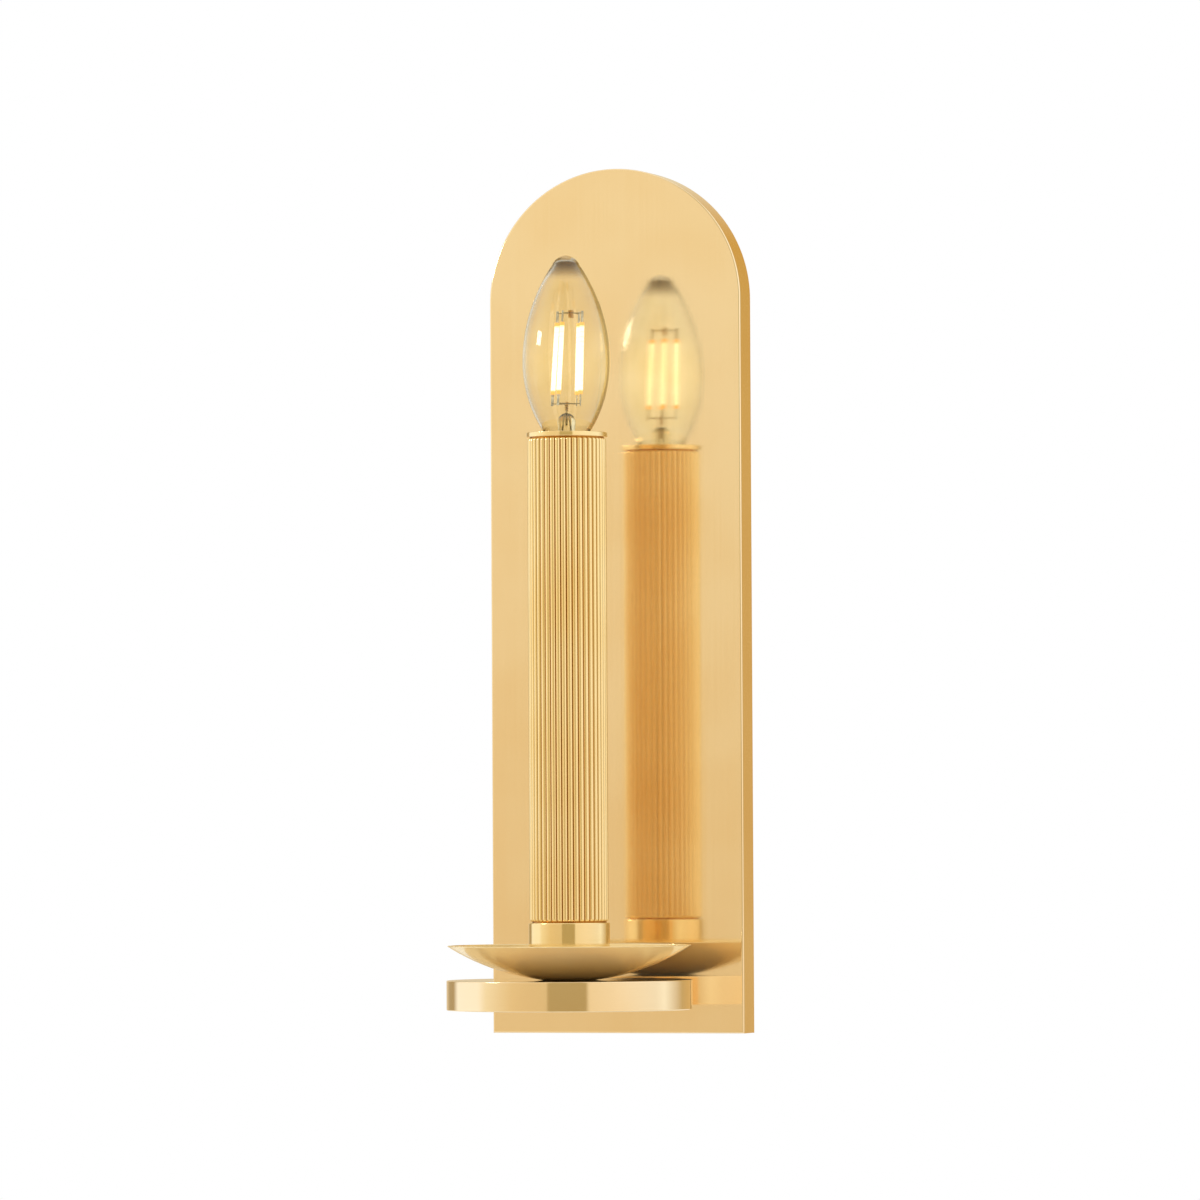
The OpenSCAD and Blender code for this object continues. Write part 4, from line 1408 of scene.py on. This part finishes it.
    def _stem(self) -> bmesh.types.BMesh:
        """Presses the glass stem: a flared skirt, a waist and a rounded pinch at the top.

        Returns:
            The stem's mesh.
        """
        top, r = self.stem_top, self.stem_r
        profile = [(0.0, -7.4), (4.1, -7.4), (4.15, -6.9), (3.6, -5.0), (3.3, -1.0), (3.5, 2.0),
                   *arc((0.0, top - r), r, 0, 90, 12)]
        return move(lathe(profile[:-1] + [(0.0, top)], closed=False, steps=64), CAP_TOP)

    def _end(self, degrees: float, share: float) -> Vector:
        """A point on a stick's centre line.

        Args:
            degrees: place of the stick round the lamp.
            share: 0 at its lower end and 1 at its upper end; beyond them on its tabs.

        Returns:
            The point, in the frame.
        """
        a, lean = math.radians(degrees), math.radians(self.lean_towards)
        r = self.foot_r + (self.top_r - self.foot_r) * share
        shift = self.foot_shift + (self.top_shift - self.foot_shift) * share
        return Vector((r * math.cos(a) + shift * math.cos(lean),
                       AT.axis_y + r * math.sin(a) + shift * math.sin(lean),
                       AT.cap_top_z + self.stick_rise + self.stick_len * share))

    def _between(self, share: float) -> Vector:
        """Returns the point midway between the first and third sticks, at a share of their length."""
        first, _, third, _ = self.stick_angles
        return (self._end(first, share) + self._end(third, share)) / 2

    def _along(self, bm: bmesh.types.BMesh, start: Vector, stop: Vector) -> bmesh.types.BMesh:
        """Lays an upright mesh along a line.

        Args:
            bm: mesh that stands on the origin.
            start: where its foot goes.
            stop: point that its top looks at.

        Returns:
            The same mesh.
        """
        spin = UP.rotation_difference(stop - start).to_matrix()
        bmesh.ops.rotate(bm, verts=bm.verts, cent=(0, 0, 0), matrix=spin)
        return move(bm, start)

    def _stick(self, degrees: float) -> bmesh.types.BMesh:
        """Makes a glowing stick with rounded ends.

        Args:
            degrees: place of the stick round the lamp.

        Returns:
            The stick's mesh.
        """
        foot, top = self._end(degrees, 0), self._end(degrees, 1)
        length = (top - foot).length
        r, e = self.stick_r, self.stick_edge
        profile = [
            (0.0, 0.0), *arc((r - e, e), e, -90, 0, 4)[1:], *arc((r - e, length - e), e, 0, 90, 4),
            (0.0, length),
        ]
        return self._along(lathe(profile, closed=False, steps=20), foot, top)

    def _tab(self, degrees: float, upper: bool) -> bmesh.types.BMesh:
        """Makes the flat metal tab at an end of a stick.

        Args:
            degrees: place of the stick round the lamp.
            upper: True at the stick's upper end.

        Returns:
            The tab's mesh.
        """
        start = self._end(degrees, 1.0 if upper else 0.0)
        reach = self.tab_len / self.stick_len
        stop = self._end(degrees, 1.0 + reach if upper else -reach)
        half_w, half_t = self.tab_half
        bm = soften(block((-half_w, -half_t, -self.tab_lap), (half_w, half_t, self.tab_len)), 0.08, 2)
        return self._along(turn(bm, degrees, "Z"), start, stop)

    def _supports(self) -> bmesh.types.BMesh:
        """Bends the wires: a post on the stem, two cross wires above, two below and the lead-ins.

        Returns:
            The wires' mesh.
        """
        above = 1.0 + 0.8 * self.tab_len / self.stick_len
        below = -0.8 * self.tab_len / self.stick_len
        crown = self._between(above)
        stem_top = CAP_TOP + UP * (self.stem_top - 1)
        high, low = ([self._end(one, share) for one in self.stick_angles] for share in (above, below))
        hub = Vector((0, AT.axis_y, sum(point.z for point in low) / len(low)))
        wires = []
        for ends, middle, rises in ((high, crown, (0.6, 0.2)), (low, hub, (0.3, -0.3))):
            for i, rise in enumerate(rises):
                wires.append(drawn_wire([ends[i], middle + UP * rise, ends[i + 2]], self.wire_r))
        slant = math.radians(30)
        for side in (-1, 1):
            lead = Vector((math.cos(slant), math.sin(slant), 0)) * side
            route = [stem_top + lead * 1.3 - UP * 9, stem_top + lead * 1.1 - UP * 2, stem_top + UP * 1.2,
                     hub - lead * 0.6]
            wires.append(drawn_wire(route, self.wire_r * 1.1))
        wires.append(drawn_wire([stem_top - UP * 4, hub], self.post_r, smooth=False))
        return join(*wires)

    def _coil(self) -> bmesh.types.BMesh:
        """Winds the small gilt spring over the sticks and the knot above the stem.

        Returns:
            The mesh of both.
        """
        crown = self._between(1.0 + 0.75 * self.tab_len / self.stick_len)
        return join(self.spring.wind(crown), self.knot.wind(CAP_TOP + UP * self.knot_rise))

    def _base(self) -> bmesh.types.BMesh:
        """Rolls the thin screw shell with its rounded thread.

        Returns:
            The shell's mesh.
        """
        wall, r, hole_r, length = self.shell_t, self.base_r, self.shell_hole_r, self.base_len
        start, stop = self.thread_low, length - self.thread_end
        steps = 60
        rising = [start + (stop - start) * i / steps for i in range(steps + 1)]
        profile = [
            (hole_r, 0.0), (r - 0.8, 0.0), *((r, z) for z in rising), (r, length), (r - wall, length),
            *((r - wall, z) for z in reversed(rising)), (hole_r, wall),
        ]
        bm = lathe(profile, steps=72)
        for vert in bm.verts:
            out = math.hypot(vert.co.x, vert.co.y)
            if out < r - wall - 0.01 or not start <= vert.co.z <= stop:
                continue
            phase = 2 * math.pi * vert.co.z / self.thread_pitch - math.atan2(vert.co.y, vert.co.x)
            fade = min(1.0, (vert.co.z - start) / self.thread_fade, (stop - vert.co.z) / self.thread_fade)
            share = 1 - self.thread_depth * fade * (0.5 - 0.5 * math.cos(phase)) / out
            vert.co.x *= share
            vert.co.y *= share
        return move(bm, CAP_TOP - UP * (self.base_drop + length))

    def _insulator(self) -> bmesh.types.BMesh:
        """Turns the moulded insulator under the screw shell.

        Returns:
            The insulator's mesh.
        """
        low, high = (corner.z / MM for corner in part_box("lamp_insulator"))
        profile = [(0.0, low), *arc((2.7, low + 0.3), 0.3, -90, -30, 3), (5.0, high), (0.0, high)]
        return move(lathe(profile, closed=False, steps=64), AXIS)

    def _contact(self) -> bmesh.types.BMesh:
        """Turns the domed solder contact.

        Returns:
            The contact's mesh.
        """
        low, high = (corner.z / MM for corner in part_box("lamp_contact"))
        r = self.contact_r
        dome = [(r * math.sin(a), high - (high - low) * math.cos(a))
                for a in (math.radians(90 * i / 8) for i in range(9))]
        return move(lathe([*dome, (0.0, high)], closed=False, steps=48), AXIS)


class HiddenFittings:
    """CAD nodes whose shape is right as it is. They only need their finishes."""

    def build(self) -> None:
        """Gives every CAD node that still shows the finish of its slot."""
        slots = {row["node"]: Slot(row["material_slot"]) for row in frame["record"]["subparts"]}
        for name, obj in frame["nodes"].items():
            if obj.hide_render:
                continue
            finish = SLOT_FINISHES[slots[name]]
            obj.data.materials.clear()
            obj.data.materials.append(finish.material())
            log.info("%s: carried over as %s", name, finish.name)


# Studio


@dataclass
class Studio:
    """Camera, white world, pale floor and a ring of soft panels that the brass mirrors."""

    azimuth: float = 18.42
    elevation: float = -1.627
    roll: float = -0.302
    distance_mm: float = 3360.0
    lens_mm: float = 245.0
    sensor_mm: float = 36.0
    target_mm: tuple[float, float, float] = (-6.8, -14.0, 0.0)
    ring_r: float = 1.2
    floor_z: float = -0.9
    floor_r: float = 2.6
    ring_top: float = 1.9
    panel_light: float = 1.3
    pale: str = "#E8E4D8"
    pale_z: tuple[float, float] = (-0.32, -0.5)
    low_z: float = -0.25
    high_z: float = 0.25
    panels: tuple[tuple[float, str, str], ...] = (
        (-180, "#C2AE8A", "#D1C6AB"), (-160, "#C7B290", "#D7CBB2"), (-148, "#A08E6D", "#A08E6D"),
        (-134, "#A08E6D", "#A08E6D"), (-124, "#E8E8E8", "#EFEFEF"), (-90, "#E8E8E8", "#EFEFEF"),
        (-80, "#DCD2BC", "#EEEFE7"), (-52, "#CFBA95", "#DFD4B8"), (-37, "#CBB692", "#DCD0B5"),
        (-21, "#C9B591", "#D9CEB4"), (-19, "#A49168", "#B1A682"), (13, "#A49168", "#B1A682"),
        (16, "#D9C9AF", "#EAE5D8"), (44, "#DFD1BD", "#EFEEE9"), (83, "#DBD3C7", "#ECEFEF"),
        (96, "#E3E1D9", "#EFEFEF"), (112, "#C9BCA7", "#D9D6CE"), (128, "#B29A6D", "#B59A5F"),
        (150, "#C2A065", "#BA9246"), (180, "#C2AE8A", "#D1C6AB"),
    )
    glint: tuple[float, float, float, float] = (-77.0, 0.4, 0.3, 0.16)
    glint_light: float = 16.0

    def build_camera(self) -> None:
        """Places the camera and makes it the scene's own."""
        a, e = math.radians(self.azimuth), math.radians(self.elevation)
        towards = Vector((math.sin(a) * math.cos(e), -math.cos(a) * math.cos(e), math.sin(e)))
        lens = bpy.data.cameras.new("camera")
        lens.lens = self.lens_mm
        lens.sensor_width = self.sensor_mm
        lens.clip_end = 50.0
        camera = bpy.data.objects.new("camera", lens)
        bpy.context.scene.collection.objects.link(camera)
        level = towards.to_track_quat("Z", "Y").to_matrix().to_4x4()
        place = Matrix.Translation(Vector(self.target_mm) * MM + towards * self.distance_mm * MM)
        camera.matrix_world = place @ level @ Matrix.Rotation(math.radians(self.roll), 4, "Z")
        bpy.context.scene.camera = camera

    def build(self) -> None:
        """Builds the world, the floor and the ring of panels."""
        bpy.context.scene.view_settings.view_transform = "Standard"
        world = bpy.data.worlds.new("white_room")
        world.use_nodes = True
        backdrop = world.node_tree.nodes["Background"]
        backdrop.inputs["Color"].default_value = (1.0, 1.0, 1.0, 1.0)
        backdrop.inputs["Strength"].default_value = 1.0
        bpy.context.scene.world = world
        self._floor()
        self._ring()
        self._glint()

    def _floor(self) -> None:
        """Lays the pale floor well below the sconce."""
        bm = prism(96, self.floor_r / MM, 10.0)
        floor = as_object("pale_floor", move(bm, (0, 0, self.floor_z / MM - 10)))
        material, tree, place = start_material("pale_floor_paint")
        clouds = add_node(tree, "TexNoise", {"Vector": place, "Scale": 3.0, "Detail": 3.0})
        tone = add_node(
            tree, "ValToRGB", {0: clouds},
            stops=[(0.3, to_linear("#F2F1EE")), (0.7, to_linear("#ECEAE6"))],
        )
        shader = tree.nodes["Principled BSDF"]
        feed(tree, shader, {"Base Color": tone, "Roughness": 0.8})
        floor.data.materials.append(material)

    def _ring(self) -> None:
        """Stands the ring of soft panels round the sconce. The camera looks through it."""
        bm = bmesh.new()
        height = self.ring_top - self.floor_z
        radius = self.ring_r / MM
        bmesh.ops.create_cone(
            bm, cap_ends=False, segments=128, radius1=radius, radius2=radius, depth=height / MM
        )
        ring = as_object("soft_panel_ring", move(bm, (0, 0, (self.floor_z + height / 2) / MM)))
        material, tree, place = start_material("soft_panel_light")
        facing = math.radians(90 - self.azimuth)
        faced = add_node(tree, "Mapping", {"Vector": place, "Rotation": (0.0, 0.0, facing)})
        round_ring = add_node(tree, "TexGradient", {"Vector": faced}, gradient_type="RADIAL")
        low, high = (
            add_node(
                tree, "ValToRGB", {0: round_ring},
                stops=[(row[0] / 360 + 0.5, to_linear(row[level])) for row in self.panels],
            )
            for level in (1, 2)
        )
        height_of = add_node(tree, "SeparateXYZ", {0: place}).outputs["Z"]
        rise = add_node(
            tree, "MapRange", {"Value": height_of, "From Min": self.low_z, "From Max": self.high_z}
        )
        panels = add_node(tree, "Mix", {0: rise, 6: low, 7: high}, data_type="RGBA").outputs[2]
        # The panels stop above the floor; below them the white room shows.
        sunk = add_node(
            tree, "MapRange",
            {"Value": height_of, "From Min": self.pale_z[0], "From Max": self.pale_z[1]},
        )
        panels = add_node(
            tree, "Mix", {0: sunk, 6: panels, 7: to_linear(self.pale)}, data_type="RGBA"
        ).outputs[2]
        self._light_up(ring, material, panels, self.panel_light)

    def _glint(self) -> None:
        """Hangs the small lamp whose glint shows on the side of the glass."""
        angle, height, width, tall = self.glint
        turned = math.radians(self.azimuth + angle)
        half = Vector((width / 2, 0.002, tall / 2)) / MM
        bm = soften(block(tuple(-half), tuple(half)), 2.0, 2)
        turn(bm, self.azimuth + angle, "Z")
        away = Vector((math.sin(turned), -math.cos(turned), 0)) * (self.ring_r - 0.05)
        panel = as_object("glint_panel", move(bm, (away + UP * height) / MM))
        material, tree, place = start_material("glint_panel_light")
        weave = add_node(tree, "TexNoise", {"Vector": place, "Scale": 20.0})
        tone = add_node(
            tree, "ValToRGB", {0: weave},
            stops=[(0.3, to_linear("#FFFFFF")), (0.7, to_linear("#FFF8EC"))],
        )
        self._light_up(panel, material, tone, self.glint_light)

    def _light_up(
        self, piece: bpy.types.Object, material: bpy.types.Material, colour: object, strength: float
    ) -> None:
        """Makes a studio piece glow, out of the camera's sight and not seen through glass.

        Args:
            piece: the studio piece.
            material: its material.
            colour: node or socket that gives the colour of its light.
            strength: strength of its light.
        """
        tree = material.node_tree
        light = add_node(tree, "Emission", {"Color": colour, "Strength": strength})
        feed(tree, tree.nodes["Material Output"], {"Surface": light})
        piece.data.materials.append(material)
        piece.visible_camera = False
        piece.visible_transmission = False


def main() -> None:
    """Builds the camera, every sub-assembly and the studio, in order."""
    logging.basicConfig(level=logging.INFO, format="%(name)s %(message)s")
    studio = Studio()
    studio.build_camera()
    for assembly in (BackPan(), DiscArm(), DishAndCup(), ReededCandle(), TorpedoLamp(), HiddenFittings()):
        assembly.build()
    studio.build()


if __name__ == "__main__":
    main()
